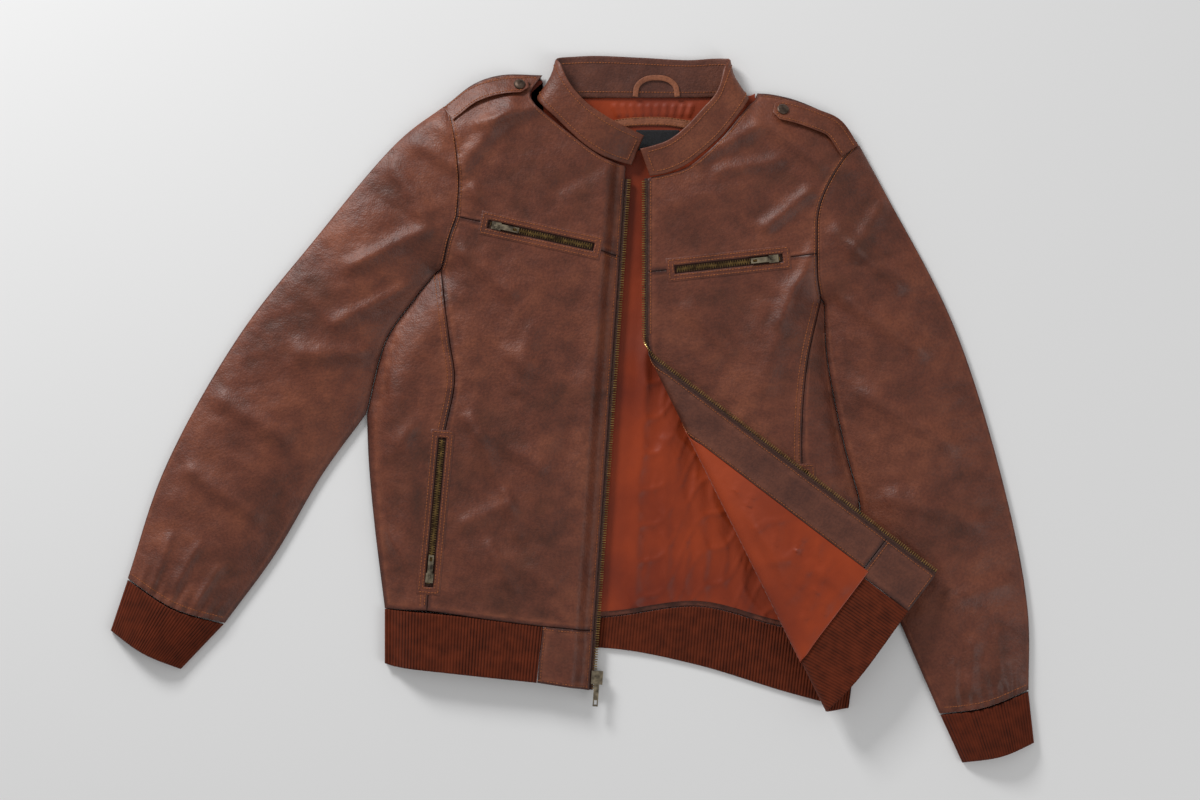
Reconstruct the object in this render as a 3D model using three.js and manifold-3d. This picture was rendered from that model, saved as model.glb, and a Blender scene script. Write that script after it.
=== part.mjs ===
// A leather riding jacket, lying open on its back with its left front turned outward.
// Millimetres. +X runs towards the jacket's left sleeve, +Y towards the collar, +Z up from the table.
// Outlines are drawn for the base size and graded by two overall sizes.
import * as THREE from "three";
import { mergeVertices } from "three/addons/utils/BufferGeometryUtils.js";
import Module from "manifold-3d";

const wasm = await Module();
wasm.setup();

// ---- Driving dimensions ----------------------------------------------------------------
const OVERALL_WIDTH = 970; // across both laid-out sleeves
const OVERALL_LENGTH = 747; // from the collar's back edge to the lowest cuff
const BASE_WIDTH = 970; // the size that the outlines are drawn for
const BASE_LENGTH = 747;

const LEATHER = 1.4;
const LINING = 0.6;
const RIB_KNIT = 3.2;
const TAPE = 0.8;
const LAYER_GAP = 0.3; // between pieces lying on each other
const SEAM_GAP = 0.6; // between pieces sewn edge to edge

const CHEST_RISE = 18; // middle surface of the front over the table
const SIDE_RAMP = 38; // width over which the front comes down to the side seam
const SHOULDER_RAMP = 40;
const EDGE_HEIGHT = 1.1; // middle surface of the front where it meets the back
const ZIP_EDGE_HEIGHT = 7.2; // middle surface along the right half's zip, which lies on the back
const ZIP_FLAT = 12; // width that lies level beside that zip
const ZIP_RAMP = 14; // and the width over which the front then rises
const CUFF_RISE = 13;
const LINING_SAG = 3.4; // how far the front lining hangs away from the leather

const FACING_WIDTH = 46;
const ZIP_REVEAL = 6; // leather edge to the outer edge of the teeth
const TEETH_WIDTH = 3;
const TEETH_HEIGHT = 3;
const TAPE_WIDTH = 11;
const FOLD_RADIUS = 6;

const CHEST_ZIP_LENGTH = 112;
const HAND_ZIP_LENGTH = 155;
const POCKET_WINDOW = 9; // width of the opening that shows the chain
const WELT_BORDER = 8;
const PULL_LENGTH = 24;
const FRONT_PULL_LENGTH = 30;
const EPAULETTE_THICKNESS = 2.4;
const SNAP_DIAMETER = 12;
const STUD_HEIGHT = 2;

// Layers, as heights over a piece's middle surface.
const FACE = [0.7, 0.7 + LEATHER];
const TAPE_LAYER = [-TAPE / 2, TAPE / 2];
const FACING = [-0.7 - LEATHER, -0.7];
const LINING_TOP = -2.3;

// Layers, as heights over the table.
const BACK_LEATHER = [0, LEATHER];
const BACK_LINING = [LEATHER + 0.4, LEATHER + 0.4 + LINING];
const ON_BACK_LINING = BACK_LINING[1] + LAYER_GAP;

// ---- Outlines ----------------------------------------------------------------------------
const V = THREE.Vector3;
const gradeX = (x) => (x * OVERALL_WIDTH) / BASE_WIDTH;
const gradeY = (y) => (y * OVERALL_LENGTH) / BASE_LENGTH;
const spot = (x, y, z = 0) => new V(gradeX(x), gradeY(y), z);

// A smooth path through base-size points; points that are vectors are taken as they are.
function outline(...points) {
  const path = new THREE.CurvePath();
  const places = points.map((p) => (p.isVector3 ? p : spot(...p)));
  path.add(new THREE.CatmullRomCurve3(places, false, "centripetal"));
  return path;
}

// Paths end to end, with their corners kept.
function joined(...paths) {
  const path = new THREE.CurvePath();
  paths.forEach((one) => one.curves.forEach((curve) => path.add(curve)));
  return path;
}

// Two paths end to end as one, with the corner between them at a given share of the way.
const cornered = (first, second, share) => ({
  getPoint: (t) => (t < share ? first.getPoint(t / share) : second.getPoint((t - share) / (1 - share))),
});

// The right half's zip is straight: a spot on it at a base-size height, moved in towards the leather.
const ZIP_BOTTOM = spot(24, -293.5);
const ZIP_TOP = spot(61.3, 243);
const zipRightX = (y) => THREE.MathUtils.mapLinear(y, ZIP_BOTTOM.y, ZIP_TOP.y, ZIP_BOTTOM.x, ZIP_TOP.x);
const byZip = (y, inward) => new V(zipRightX(gradeY(y)) - inward, gradeY(y), 0);
// The left half's zip before its front is turned out.
const ZIP_LEFT_X = gradeX(73);
const byLeftZip = (y, inward) => new V(ZIP_LEFT_X + inward, gradeY(y), 0);

// Right half: the wearer's right, at -X.
const armholeR = {
  upper: outline([-132, 321], [-125, 293], [-119, 240], [-121, 203]),
  lower: outline([-121, 203], [-130, 177], [-135, 156], [-138, 147.5]),
  end: outline([-142, 145], [-138, 147.5]),
};
const armpitR = outline([-142, 145], [-167, 115], [-195, 74], [-216, -4]);
const sideR = outline([-216, -4], [-214, -55], [-208, -120], [-197, -208]);
const ribSideR = outline([-197, -208], [-197, -265]);
const princessR = outline(
  [-138, 147.5], [-128.5, 74], [-123, 32], [-134, -28], [-144, -105], [-152, -209.5],
);
const yokeSeamR = outline([-121, 203], [-89, 196], [22, 170], byZip(161, ZIP_REVEAL));
const shoulderR = outline([-132, 321], [-103, 343], [-75, 352], [-31, 352]);
const neckSideR = outline([-31, 352], [-44, 331], [-38, 319]);
const collarSeamR = outline([-38, 319], [-2.5, 290], [32, 265], byZip(256, ZIP_REVEAL));
const hemR = outline([-152, -209.5], [-78.5, -220], [-31, -226]);
const hemByTabR = outline([-31, -226], byZip(-231, ZIP_REVEAL));

// Left half: the wearer's left, at +X, drawn before its front is turned out.
const armholeL = {
  upper: outline([299.5, 281], [275, 248], [258.5, 211], [256, 164]),
  lower: outline([256, 164], [257, 137], [261, 116]),
  end: outline([261, 116], [264, 113]),
};
const armpitL = outline([264, 113], [267, 58], [284, -31], [300.5, -91]);
const sideL = outline([300.5, -91], [304, -150], [301, -235]);
const ribSideL = outline([301, -235], [290, -313]);
const princessL = outline([261, 116], [246, 48], [240, -31], [246, -150], [255, -257]);
const yokeSeamL = outline(byLeftZip(145, ZIP_REVEAL), [105, 147.5], [223, 160], [256, 164]);
const shoulderL = outline([194, 333], [208, 332], [237, 325], [270, 309], [299.5, 281]);
const neckSideL = outline([194, 333], [192, 326], [184, 319]);
const collarSeamL = outline([184, 319], [154, 283], [119, 254], byLeftZip(243, ZIP_REVEAL));
const hemSideL = outline([255, -257], [280, -250], [301, -235]);

// The fold that turns the left front out runs down towards the left sleeve.
const FOLD_START = spot(83.5, 68);
const FOLD_END = spot(276.6, -321);

// Back.
const neckBack = outline([-31, 352], [-46, 331], [-30, 326], [75, 326], [178, 326], [196, 327], [194, 333]);
const backHem = outline([-197, -208], [-80, -217], [35, -217], [134, -206], [220, -227], [301, -235]);
const backRibEdge = outline([-197, -265], [-100, -258], [29, -249], [127, -266], [223, -295], [290, -313]);

// Sleeves: outer edges run down from the shoulder and inner edges from the armpit.
const sleeveR = {
  armhole: joined(armholeR.upper, armholeR.lower, outline([-138, 147.5], [-142, 145])),
  outer: outline([-132, 321], [-181, 284], [-275, 174], [-351, 77], [-428, -61], [-467, -177]),
  inner: joined(armpitR, outline([-216, -4], [-261, -66], [-312, -152], [-365, -224])),
  wrist: outline([-467, -177], [-418, -208], [-365, -224]),
  cuff: {
    outer: outline([-467, -177], [-485, -231]),
    inner: outline([-365, -224], [-411, -272]),
    mouth: outline([-485, -231], [-450, -255], [-411, -272]),
  },
};
const sleeveL = {
  armhole: joined(armholeL.upper, armholeL.lower, armholeL.end),
  outer: outline([299.5, 281], [329, 227], [400, 90], [454, -83], [478, -209], [479, -294]),
  inner: joined(armpitL, outline([300.5, -91], [320, -150], [343, -221], [385.5, -319])),
  wrist: outline([479, -294], [432, -312], [385.5, -319]),
  cuff: {
    outer: outline([479, -294], [485, -349]),
    inner: outline([385.5, -319], [409, -370]),
    mouth: outline([485, -349], [450, -363], [409, -370]),
  },
};

// ---- Heights -----------------------------------------------------------------------------
const { lerp } = THREE.MathUtils;
const easeOut = (t) => Math.sin((Math.min(Math.max(t, 0), 1) * Math.PI) / 2);
const smooth = (t) => THREE.MathUtils.smoothstep(t, 0, 1);

// Shortest way in plan from a spot to a path.
function distanceTo(path) {
  const points = [...Array(41).keys()].map((i) => path.getPoint(i / 40));
  const legs = points.slice(1).map((end, i) => new THREE.Line3(points[i], end));
  const near = new V();
  return (x, y) => {
    const from = new V(x, y, 0);
    return Math.min(...legs.map((leg) => leg.closestPointToPoint(from, true, near).distanceTo(from)));
  };
}

function rising(side, shoulder) {
  const [toSide, toShoulder] = [distanceTo(side), distanceTo(shoulder)];
  return (x, y) => {
    const share = easeOut(toSide(x, y) / SIDE_RAMP) * easeOut(toShoulder(x, y) / SHOULDER_RAMP);
    return lerp(EDGE_HEIGHT, CHEST_RISE, share);
  };
}

// The middle surface of each front over the table.
const rightRise = rising(joined(armpitR, sideR, ribSideR), shoulderR);
const leftFront = rising(joined(armpitL, sideL, ribSideL), shoulderL);
function rightFront(x, y) {
  const inward = (zipRightX(y) - x - ZIP_FLAT) / ZIP_RAMP;
  return lerp(ZIP_EDGE_HEIGHT, rightRise(x, y), smooth(inward));
}
const table = () => 0;

// ---- Solids ------------------------------------------------------------------------------
function geometryOf(points, triangles) {
  const geometry = new THREE.BufferGeometry().setFromPoints(points);
  geometry.setIndex(triangles);
  return facingOut(mergeVertices(geometry, 1e-4));
}

// Turns the faces round if the solid is inside out.
function facingOut(geometry) {
  const at = geometry.attributes.position;
  const index = geometry.index.array;
  const corner = (i) => new V().fromBufferAttribute(at, index[i]);
  let volume = 0;
  for (let i = 0; i < index.length; i += 3) {
    volume += corner(i).dot(corner(i + 1).cross(corner(i + 2)));
  }
  if (volume < 0) index.reverse();
  return geometry;
}

// The closed solid between two surfaces over one grid.
function closedGrid(low, high, cols, rows) {
  const points = [];
  const triangles = [];
  const at = (side, i, j) => (side * (rows + 1) + j) * (cols + 1) + i;
  [low, high].forEach((surface) => {
    for (let j = 0; j <= rows; j += 1) {
      for (let i = 0; i <= cols; i += 1) points.push(surface(i / cols, j / rows));
    }
  });
  const quad = (a, b, c, d) => triangles.push(a, b, c, a, c, d);
  for (let j = 0; j < rows; j += 1) {
    for (let i = 0; i < cols; i += 1) {
      quad(at(1, i, j), at(1, i + 1, j), at(1, i + 1, j + 1), at(1, i, j + 1));
      quad(at(0, i, j), at(0, i, j + 1), at(0, i + 1, j + 1), at(0, i + 1, j));
    }
    quad(at(0, 0, j), at(1, 0, j), at(1, 0, j + 1), at(0, 0, j + 1));
    quad(at(0, cols, j), at(0, cols, j + 1), at(1, cols, j + 1), at(1, cols, j));
  }
  for (let i = 0; i < cols; i += 1) {
    quad(at(0, i, 0), at(0, i + 1, 0), at(1, i + 1, 0), at(1, i, 0));
    quad(at(0, i, rows), at(1, i, rows), at(1, i + 1, rows), at(0, i + 1, rows));
  }
  return geometryOf(points, triangles);
}

// A patch with four edges: top and bottom run left to right, left and right run down.
function patch(top, right, bottom, left) {
  const [a, b] = [top.getPoint(0), top.getPoint(1)];
  const [c, d] = [bottom.getPoint(0), bottom.getPoint(1)];
  return (u, v) => {
    const across = left.getPoint(v).lerp(right.getPoint(v), u);
    const down = top.getPoint(u).lerp(bottom.getPoint(u), v);
    const corners = a.clone().lerp(b, u).lerp(c.clone().lerp(d, u), v);
    return across.add(down).sub(corners);
  };
}

// The patch with its last columns drawn together, so that a few narrow ones lie beside the zip.
const WIDE_COLUMNS = 7;
const NARROW_COLUMNS = 6;
const FRONT_COLUMNS = WIDE_COLUMNS + NARROW_COLUMNS;
const NARROW_SHARE = 0.19; // of the patch's width
function finerByZip(plan) {
  const split = WIDE_COLUMNS / FRONT_COLUMNS;
  return (u, v) => {
    const wide = (u / split) * (1 - NARROW_SHARE);
    const narrow = 1 - ((1 - u) / (1 - split)) * NARROW_SHARE;
    return plan(u < split ? wide : narrow, v);
  };
}

// The patch drawn in from its left, right, top and bottom edges. A side margin may change on the way down.
function drawnIn(plan, [left, right, top, bottom]) {
  const share = (margin, whole) => Math.min(0.3, margin / whole);
  const at = (margin, t) => (typeof margin === "function" ? margin(t) : margin);
  return (u, v) => {
    const width = plan(0, v).distanceTo(plan(1, v));
    const length = plan(u, 0).distanceTo(plan(u, 1));
    const across = lerp(share(at(left, v), width), 1 - share(at(right, v), width), u);
    const down = lerp(share(top, length), 1 - share(bottom, length), v);
    return plan(across, down);
  };
}

const HALF_SEAM = SEAM_GAP / 2;
const ALL_ROUND = (margin) => [margin, margin, margin, margin];

// The solid between two surfaces over a plan; a surface is a height from x, y, u and v.
function between(plan, low, high, cols, rows, margins = ALL_ROUND(HALF_SEAM)) {
  const inner = drawnIn(plan, margins);
  const face = (surface) => (u, v) => {
    const p = inner(u, v);
    return new V(p.x, p.y, surface(p.x, p.y, u, v));
  };
  return closedGrid(face(low), face(high), cols, rows);
}

// A sheet whose faces lie at two steady heights over a base surface.
function sheet(plan, base, [low, high], cols, rows, margins) {
  const over = (height) => (...at) => base(...at) + height;
  return between(plan, over(low), over(high), cols, rows, margins);
}

function solidOf(geometry) {
  const bare = geometry.clone();
  bare.deleteAttribute("normal");
  bare.deleteAttribute("uv");
  const merged = mergeVertices(bare, 1e-4);
  const mesh = new wasm.Mesh({
    numProp: 3,
    vertProperties: new Float32Array(merged.attributes.position.array),
    triVerts: new Uint32Array(merged.index.array),
  });
  return new wasm.Manifold(mesh);
}

function geometryFrom(solid) {
  const mesh = solid.getMesh();
  const geometry = new THREE.BufferGeometry();
  geometry.setAttribute("position", new THREE.BufferAttribute(mesh.vertProperties.slice(), 3));
  geometry.setIndex(new THREE.BufferAttribute(mesh.triVerts.slice(), 1));
  return geometry;
}

const cut = (body, ...tools) =>
  geometryFrom(tools.reduce((left, tool) => left.subtract(solidOf(tool)), solidOf(body)));
const fused = (first, ...others) =>
  geometryFrom(others.reduce((sum, other) => sum.add(solidOf(other)), solidOf(first)));

function box(width, length, height, x = 0, y = 0, z = 0) {
  return new THREE.BoxGeometry(width, length, height).translate(x, y, z);
}

// ---- The turned-out front ------------------------------------------------------------------
// Pieces of the left front are drawn flat, cut into strips along the fold and bent round it.
const foldWay = FOLD_END.clone().sub(FOLD_START).normalize();
const foldOut = new V(foldWay.y, -foldWay.x, 0); // from the fold towards the zip edge
const foldTurn = Math.PI * FOLD_RADIUS;

const pastFold = (x, y) => (x - FOLD_START.x) * foldOut.x + (y - FOLD_START.y) * foldOut.y;
const alongFold = (x, y) => (x - FOLD_START.x) * foldWay.x + (y - FOLD_START.y) * foldWay.y;

// A spot of the flat left front, at height h over its middle surface, after the turn.
function turned(x, y, h, base = leftFront) {
  const past = pastFold(x, y);
  if (past <= 0) return new V(x, y, base(x, y) + h);
  const angle = Math.min(past / FOLD_RADIUS, Math.PI);
  const reach = Math.max(past - foldTurn, 0);
  const out = (FOLD_RADIUS - h) * Math.sin(angle) - reach;
  const line = new V(x, y, 0).addScaledVector(foldOut, -past);
  const height = lerp(base(line.x, line.y), CHEST_RISE, smooth(past / foldTurn));
  const up = FOLD_RADIUS - (FOLD_RADIUS - h) * Math.cos(angle);
  return line.addScaledVector(foldOut, out).setZ(height + up);
}

// The part of a flat outline on one side of a line: keeps what measures over (or under) a limit.
function clipped(points, measure, limit, keepOver) {
  const inside = (p) => (keepOver ? measure(p) >= limit : measure(p) <= limit);
  const kept = [];
  points.forEach((point, i) => {
    const next = points[(i + 1) % points.length];
    if (inside(point)) kept.push(point);
    if (inside(point) !== inside(next)) {
      // Worked out in one direction only, so that both sides of the line share the spot.
      const [a, b] = measure(point) < measure(next) ? [point, next] : [next, point];
      const t = (limit - measure(a)) / (measure(b) - measure(a));
      kept.push(a.clone().lerp(b, t));
    }
  });
  return kept;
}

const BEND_STEPS = 8;
const STRIP = 26; // width of a strip away from the bend
const bendCuts = [...Array(BEND_STEPS + 1).keys()].map((i) => (i * foldTurn) / BEND_STEPS);

// Places for cuts every step from the first whole step under `from` up to `to`.
function steps(from, to, step) {
  const first = Math.floor(from / step);
  const count = Math.max(0, Math.ceil(to / step) - first);
  return [...Array(count).keys()].map((i) => (first + i) * step);
}

// A closed solid over a flat outline of the left front, bent round the fold.
function turnedSheet(points, [low, high], base = leftFront, strip = STRIP, sag = 0) {
  const flat = inset(points.map((p) => new THREE.Vector2(p.x, p.y)), HALF_SEAM);
  const past = (p) => pastFold(p.x, p.y);
  const along = (p) => alongFold(p.x, p.y);
  const range = (measure) => [Math.min(...flat.map(measure)), Math.max(...flat.map(measure))];
  const [least, most] = range(past);
  const after = steps(0, most - foldTurn, STRIP).slice(1).map((at) => at + foldTurn);
  const cuts = [...steps(least, 0, strip), ...bendCuts, ...after];
  const rows = steps(...range(along), strip);
  const corners = [];
  const slot = (cell, measure, places, i) => {
    const over = i > 0 ? clipped(cell, measure, places[i - 1], true) : cell;
    return i < places.length ? clipped(over, measure, places[i], false) : over;
  };
  for (let i = 0; i <= cuts.length; i += 1) {
    const slice = slot(flat, past, cuts, i);
    for (let j = 0; j <= rows.length; j += 1) {
      const cell = slot(slice, along, rows, j);
      if (cell.length < 3 || Math.abs(THREE.ShapeUtils.area(cell)) < 1e-3) continue;
      const faces = THREE.ShapeUtils.triangulateShape(cell, []);
      faces.forEach((face) => corners.push(...face.map((corner) => cell[corner])));
    }
  }
  return bentSolid(corners, low, high, base, sag);
}

// A flat outline drawn in by a margin, corner by corner.
function inset(points, margin) {
  const clockwise = THREE.ShapeUtils.area(points) < 0;
  const inward = (a, b) => {
    const way = b.clone().sub(a).normalize();
    return clockwise ? new THREE.Vector2(way.y, -way.x) : new THREE.Vector2(-way.y, way.x);
  };
  return points.map((point, i) => {
    const before = points.at(i - 1);
    const after = points[(i + 1) % points.length];
    const sum = inward(before, point).add(inward(point, after));
    return point.clone().addScaledVector(sum, (2 * margin) / sum.lengthSq());
  });
}

// Closes a flat triangulation, given corner by corner, into a solid between two layers.
function bentSolid(corners, low, high, base, sag) {
  const flat = [];
  const seen = new Map();
  const index = corners.map((p) => {
    const key = `${Math.round(p.x * 200)},${Math.round(p.y * 200)}`;
    if (!seen.has(key)) seen.set(key, flat.push(p) - 1);
    return seen.get(key);
  });
  const faces = [];
  for (let i = 0; i < index.length; i += 3) {
    const [a, b, c] = index.slice(i, i + 3);
    if (a !== b && b !== c && c !== a) faces.push([a, b, c]);
  }
  const edges = new Map();
  const sidesOf = ([a, b, c]) => [[a, b], [b, c], [c, a]];
  faces.flatMap(sidesOf).forEach(([s, e]) => edges.set(`${s},${e}`, [s, e]));
  const count = flat.length;
  const triangles = [];
  faces.forEach(([a, b, c]) => triangles.push(a + count, b + count, c + count, a, c, b));
  edges.forEach(([s, e]) => {
    if (!edges.has(`${e},${s}`)) triangles.push(s, e, e + count, s, e + count, s + count);
  });
  const rim = new Set();
  edges.forEach(([s, e]) => {
    if (!edges.has(`${e},${s}`)) rim.add(s).add(e);
  });
  const drop = flat.map((p, i) => (rim.has(i) ? 0 : sag));
  const points = [low, high].flatMap((h) => flat.map((p, i) => turned(p.x, p.y, h - drop[i], base)));
  return geometryOf(points, triangles);
}

// The points of paths, end to end, without repeating the ends.
const traced = (count, ...paths) =>
  paths.flatMap((path) => [...Array(count).keys()].map((i) => path.getPoint(i / count)));

// ---- Materials ---------------------------------------------------------------------------
const material = (color, roughness, metalness = 0) =>
  new THREE.MeshStandardMaterial({ color, roughness, metalness });
const leather = () => material(0x643a2d, 0.45);
const facingLeather = () => material(0x5d372d, 0.5);
const tanLeather = () => material(0x7b4731, 0.55);
const satin = () => material(0x8a3f24, 0.4);
const ribKnit = () => material(0x50240f, 0.95);
const darkMetal = () => material(0x6f675c, 0.35, 0.9);
const brassTeeth = () => material(0x5c4a35, 0.4, 0.8);
const blackCloth = () => material(0x1c1b1d, 0.8);

const jacket = new THREE.Group();

function add(name, geometry, look, parent = jacket) {
  const mesh = new THREE.Mesh(geometry, look);
  mesh.name = name;
  parent.add(mesh);
  return mesh;
}

// ---- Zips ----------------------------------------------------------------------------------
// A zip's own frame: x along the chain, y across it and z up from its middle surface.

// A flat shape with a hole for each inner rectangle, given as [x0, x1, y0, y1].
function plate([x0, x1, y0, y1], holes, low, high) {
  const shape = new THREE.Shape();
  shape.moveTo(x0, y0).lineTo(x1, y0).lineTo(x1, y1).lineTo(x0, y1).closePath();
  holes.forEach(([a0, a1, b0, b1]) => {
    const hole = new THREE.Path();
    hole.moveTo(a0, b0).lineTo(a0, b1).lineTo(a1, b1).lineTo(a1, b0).closePath();
    shape.holes.push(hole);
  });
  return new THREE.ExtrudeGeometry(shape, { depth: high - low, bevelEnabled: false }).translate(0, 0, low);
}

// The bail over a slider, and the bar of the pull that turns in it.
const BAIL = { width: 1.6, inside: 2.8, height: 2.2, wire: 1 };
const PULL = { width: 5.4, thickness: 1.2, bar: 0.6, window: 4, windowHalf: 1.35 };
const BAR_HEIGHT = BAIL.height / 2; // the pull's axis over the slider's top plate

// A slider: two plates joined by a web that runs between the two rows of teeth.
function sliderSolid({ length, across, web, top, bottom, plateThickness }) {
  const body = fused(
    box(length, across[1] - across[0], plateThickness, 0, mean(across), top + plateThickness / 2),
    box(length, across[1] - across[0], plateThickness, 0, mean(across), bottom - plateThickness / 2),
    box(length * 0.7, web[1] - web[0], top - bottom + plateThickness, 0, mean(web), (top + bottom) / 2),
  );
  const roof = top + plateThickness;
  const half = BAIL.inside / 2 + BAIL.wire;
  const arch = new THREE.Shape();
  arch.moveTo(-half, -LAYER_GAP).lineTo(-half, BAIL.height + BAIL.wire);
  arch.lineTo(half, BAIL.height + BAIL.wire).lineTo(half, -LAYER_GAP);
  arch.lineTo(half - BAIL.wire, -LAYER_GAP).lineTo(half - BAIL.wire, BAIL.height);
  arch.lineTo(BAIL.wire - half, BAIL.height).lineTo(BAIL.wire - half, -LAYER_GAP).closePath();
  const bail = new THREE.ExtrudeGeometry(arch, { depth: BAIL.width, bevelEnabled: false });
  bail.rotateX(Math.PI / 2).translate(0, mean(across) + BAIL.width / 2, roof);
  return fused(body, bail);
}

const mean = ([a, b]) => (a + b) / 2;

// A pull lying along -x from its axis, with the window that the bail passes through and an eye.
function pullSolid(length) {
  const { width, thickness, bar, window, windowHalf } = PULL;
  const bailWindow = [-window, -bar, -windowHalf, windowHalf];
  const eye = [-length + 2, -length + 6.5, -width / 2 + 1.3, width / 2 - 1.3];
  return plate([-length, bar, -width / 2, width / 2], [bailWindow, eye], -thickness / 2, thickness / 2);
}

const TAPE_CLEAR = TAPE / 2 + LAYER_GAP;

const frontZipLength = ZIP_TOP.distanceTo(ZIP_BOTTOM);
const RETAINER_LENGTH = 6;
const FRONT_SLIDER = {
  length: 14, across: [-7, ZIP_REVEAL - 1], web: [-1.5, -0.5], top: 2.1, bottom: -2.1, plateThickness: 1.2,
};

function addFrontZip() {
  const frame = new THREE.Group();
  frame.position.copy(ZIP_BOTTOM).setZ(ZIP_EDGE_HEIGHT);
  frame.rotation.z = Math.atan2(ZIP_TOP.y - ZIP_BOTTOM.y, ZIP_TOP.x - ZIP_BOTTOM.x);
  jacket.add(frame);
  const teeth = [0, frontZipLength, 0, TEETH_WIDTH];
  const tape = [0, frontZipLength, TEETH_WIDTH - 1, TAPE_WIDTH];
  const retainer = [0, RETAINER_LENGTH, -4, TEETH_WIDTH];
  const chain = fused(
    plate(teeth, [], -TEETH_HEIGHT / 2, TEETH_HEIGHT / 2),
    plate(tape, [], ...TAPE_LAYER),
    plate(retainer, [], -TEETH_HEIGHT / 2 - 0.4, TEETH_HEIGHT / 2 + 0.4),
  );
  add("zip_chain_right", chain, brassTeeth(), frame);
  const at = RETAINER_LENGTH + SEAM_GAP + FRONT_SLIDER.length / 2;
  const slider = add("zip_slider", sliderSolid(FRONT_SLIDER), darkMetal(), frame);
  slider.position.x = at;
  const pull = add("zip_pull", pullSolid(FRONT_PULL_LENGTH), darkMetal(), frame);
  const roof = FRONT_SLIDER.top + FRONT_SLIDER.plateThickness;
  pull.position.set(at, mean(FRONT_SLIDER.across), roof + BAR_HEIGHT);
}

// The left half's chain, which is turned out with its front.
function addLeftChain() {
  const teeth = turnedSheet(leftStrip(243, -320, TEETH_WIDTH, 0), [-TEETH_HEIGHT / 2, TEETH_HEIGHT / 2]);
  const tape = turnedSheet(leftStrip(243, -320, TAPE_WIDTH, TEETH_WIDTH - 1.5), TAPE_LAYER);
  add("zip_chain_left", fused(teeth, tape), brassTeeth());
}

// ---- Pockets -----------------------------------------------------------------------------
// A pocket's frame: x runs from the closed end of its chain to the slider.
const POCKETS = {
  chest_right: { start: spot(22, 171), end: spot(-88, 195), length: CHEST_ZIP_LENGTH },
  chest_left: { start: spot(109, 147.5), end: spot(218, 159.5), length: CHEST_ZIP_LENGTH },
  hand_right: { start: spot(-136, -30), end: spot(-150, -183), length: HAND_ZIP_LENGTH },
  hand_left: { start: spot(242, -66), end: spot(251, -218), length: HAND_ZIP_LENGTH },
};
const CHAIN_SLOT = 0.6; // half the gap between the two rows of teeth
const CHAIN = { tape: [-0.3, 0.35], teeth: [0.25, 2], tapeHalf: 8, teethHalf: 3 };
const POCKET_SLIDER = {
  length: 10, across: [-4, 4], web: [-0.3, 0.3], top: 2.4, bottom: -0.7, plateThickness: 0.9,
};
const END_STOP = 3;

function pocketFrame({ start, end }) {
  const group = new THREE.Group();
  group.position.copy(start).lerp(end, 0.5).setZ(CHEST_RISE);
  group.rotation.z = Math.atan2(end.y - start.y, end.x - start.x);
  group.updateMatrix();
  return group;
}

// What is cut from the leather to show a pocket's chain.
function pocketWindow(pocket) {
  const opening = box(pocket.length + 2, POCKET_WINDOW, 12);
  return opening.applyMatrix4(pocketFrame(pocket).matrix);
}
const windows = Object.fromEntries(Object.entries(POCKETS).map(([name, p]) => [name, pocketWindow(p)]));

function addPocket(name, pocket) {
  const frame = pocketFrame(pocket);
  jacket.add(frame);
  const half = pocket.length / 2;
  const rows = (halfWidth, layer) => {
    const slot = [-half + END_STOP, half - END_STOP, -CHAIN_SLOT, CHAIN_SLOT];
    return plate([-half, half, -halfWidth, halfWidth], [slot], ...layer);
  };
  const chain = fused(rows(CHAIN.tapeHalf, CHAIN.tape), rows(CHAIN.teethHalf, CHAIN.teeth));
  add(`${name}_zip_chain`, chain, brassTeeth(), frame);
  const [weltX, weltY] = [half + 1 + WELT_BORDER / 2, POCKET_WINDOW / 2 + WELT_BORDER];
  const window = [-half - 1, half + 1, -POCKET_WINDOW / 2, POCKET_WINDOW / 2];
  const weltBottom = FACE[1] + LAYER_GAP;
  const welt = plate([-weltX, weltX, -weltY, weltY], [window], weltBottom, weltBottom + 1);
  add(`${name}_welt`, welt, leather(), frame);
  const at = half - END_STOP - SEAM_GAP - POCKET_SLIDER.length / 2;
  add(`${name}_slider`, sliderSolid(POCKET_SLIDER), darkMetal(), frame).position.x = at;
  const pull = add(`${name}_pull`, pullSolid(PULL_LENGTH), darkMetal(), frame);
  pull.position.set(at, 0, POCKET_SLIDER.top + POCKET_SLIDER.plateThickness + BAR_HEIGHT);
}

// ---- Body ----------------------------------------------------------------------------------
const armholeSideR = joined(armholeR.upper, armholeR.lower, outline([-138, 147.5], [-142, 145]));
const RIB_LAYER = [-RIB_KNIT / 2, RIB_KNIT / 2];
const TAB_LAYER = [FACING[0], FACE[1]];
const SIDE_ROWS = 14; // rows along the princess seam, on both sides of it
const SIDE_COLUMNS = 6;
const BESIDE_SLEEVE = 1.5; // the body's side keeps this far from the sleeve that lies next to it
const SIDE_MARGINS = [HALF_SEAM, HALF_SEAM, HALF_SEAM, BESIDE_SLEEVE];
const ABOVE_PRINCESS = 2; // rows of the right front panel that meet the armhole

const BACK_ROWS = 20;
const BACK_ARMHOLE = 6 / BACK_ROWS; // share of the back's rows that meet the armholes
const BACK_COLUMNS = 12;

function addBack() {
  const left = cornered(armholeSideR, joined(armpitR, sideR), BACK_ARMHOLE);
  const right = cornered(sleeveL.armhole, joined(armpitL, sideL), BACK_ARMHOLE);
  const plan = patch(joined(shoulderR, neckBack, shoulderL), right, backHem, left);
  add("back_panel", sheet(plan, table, BACK_LEATHER, BACK_COLUMNS, BACK_ROWS), leather());
  add("back_lining", sheet(plan, table, BACK_LINING, 8, BACK_ROWS, ALL_ROUND(8)), satin());
  const rib = patch(backHem, ribSideL, backRibEdge, ribSideR);
  add("hem_rib_back", sheet(rib, table, [0, RIB_KNIT], BACK_COLUMNS, 1), ribKnit());
}

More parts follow.
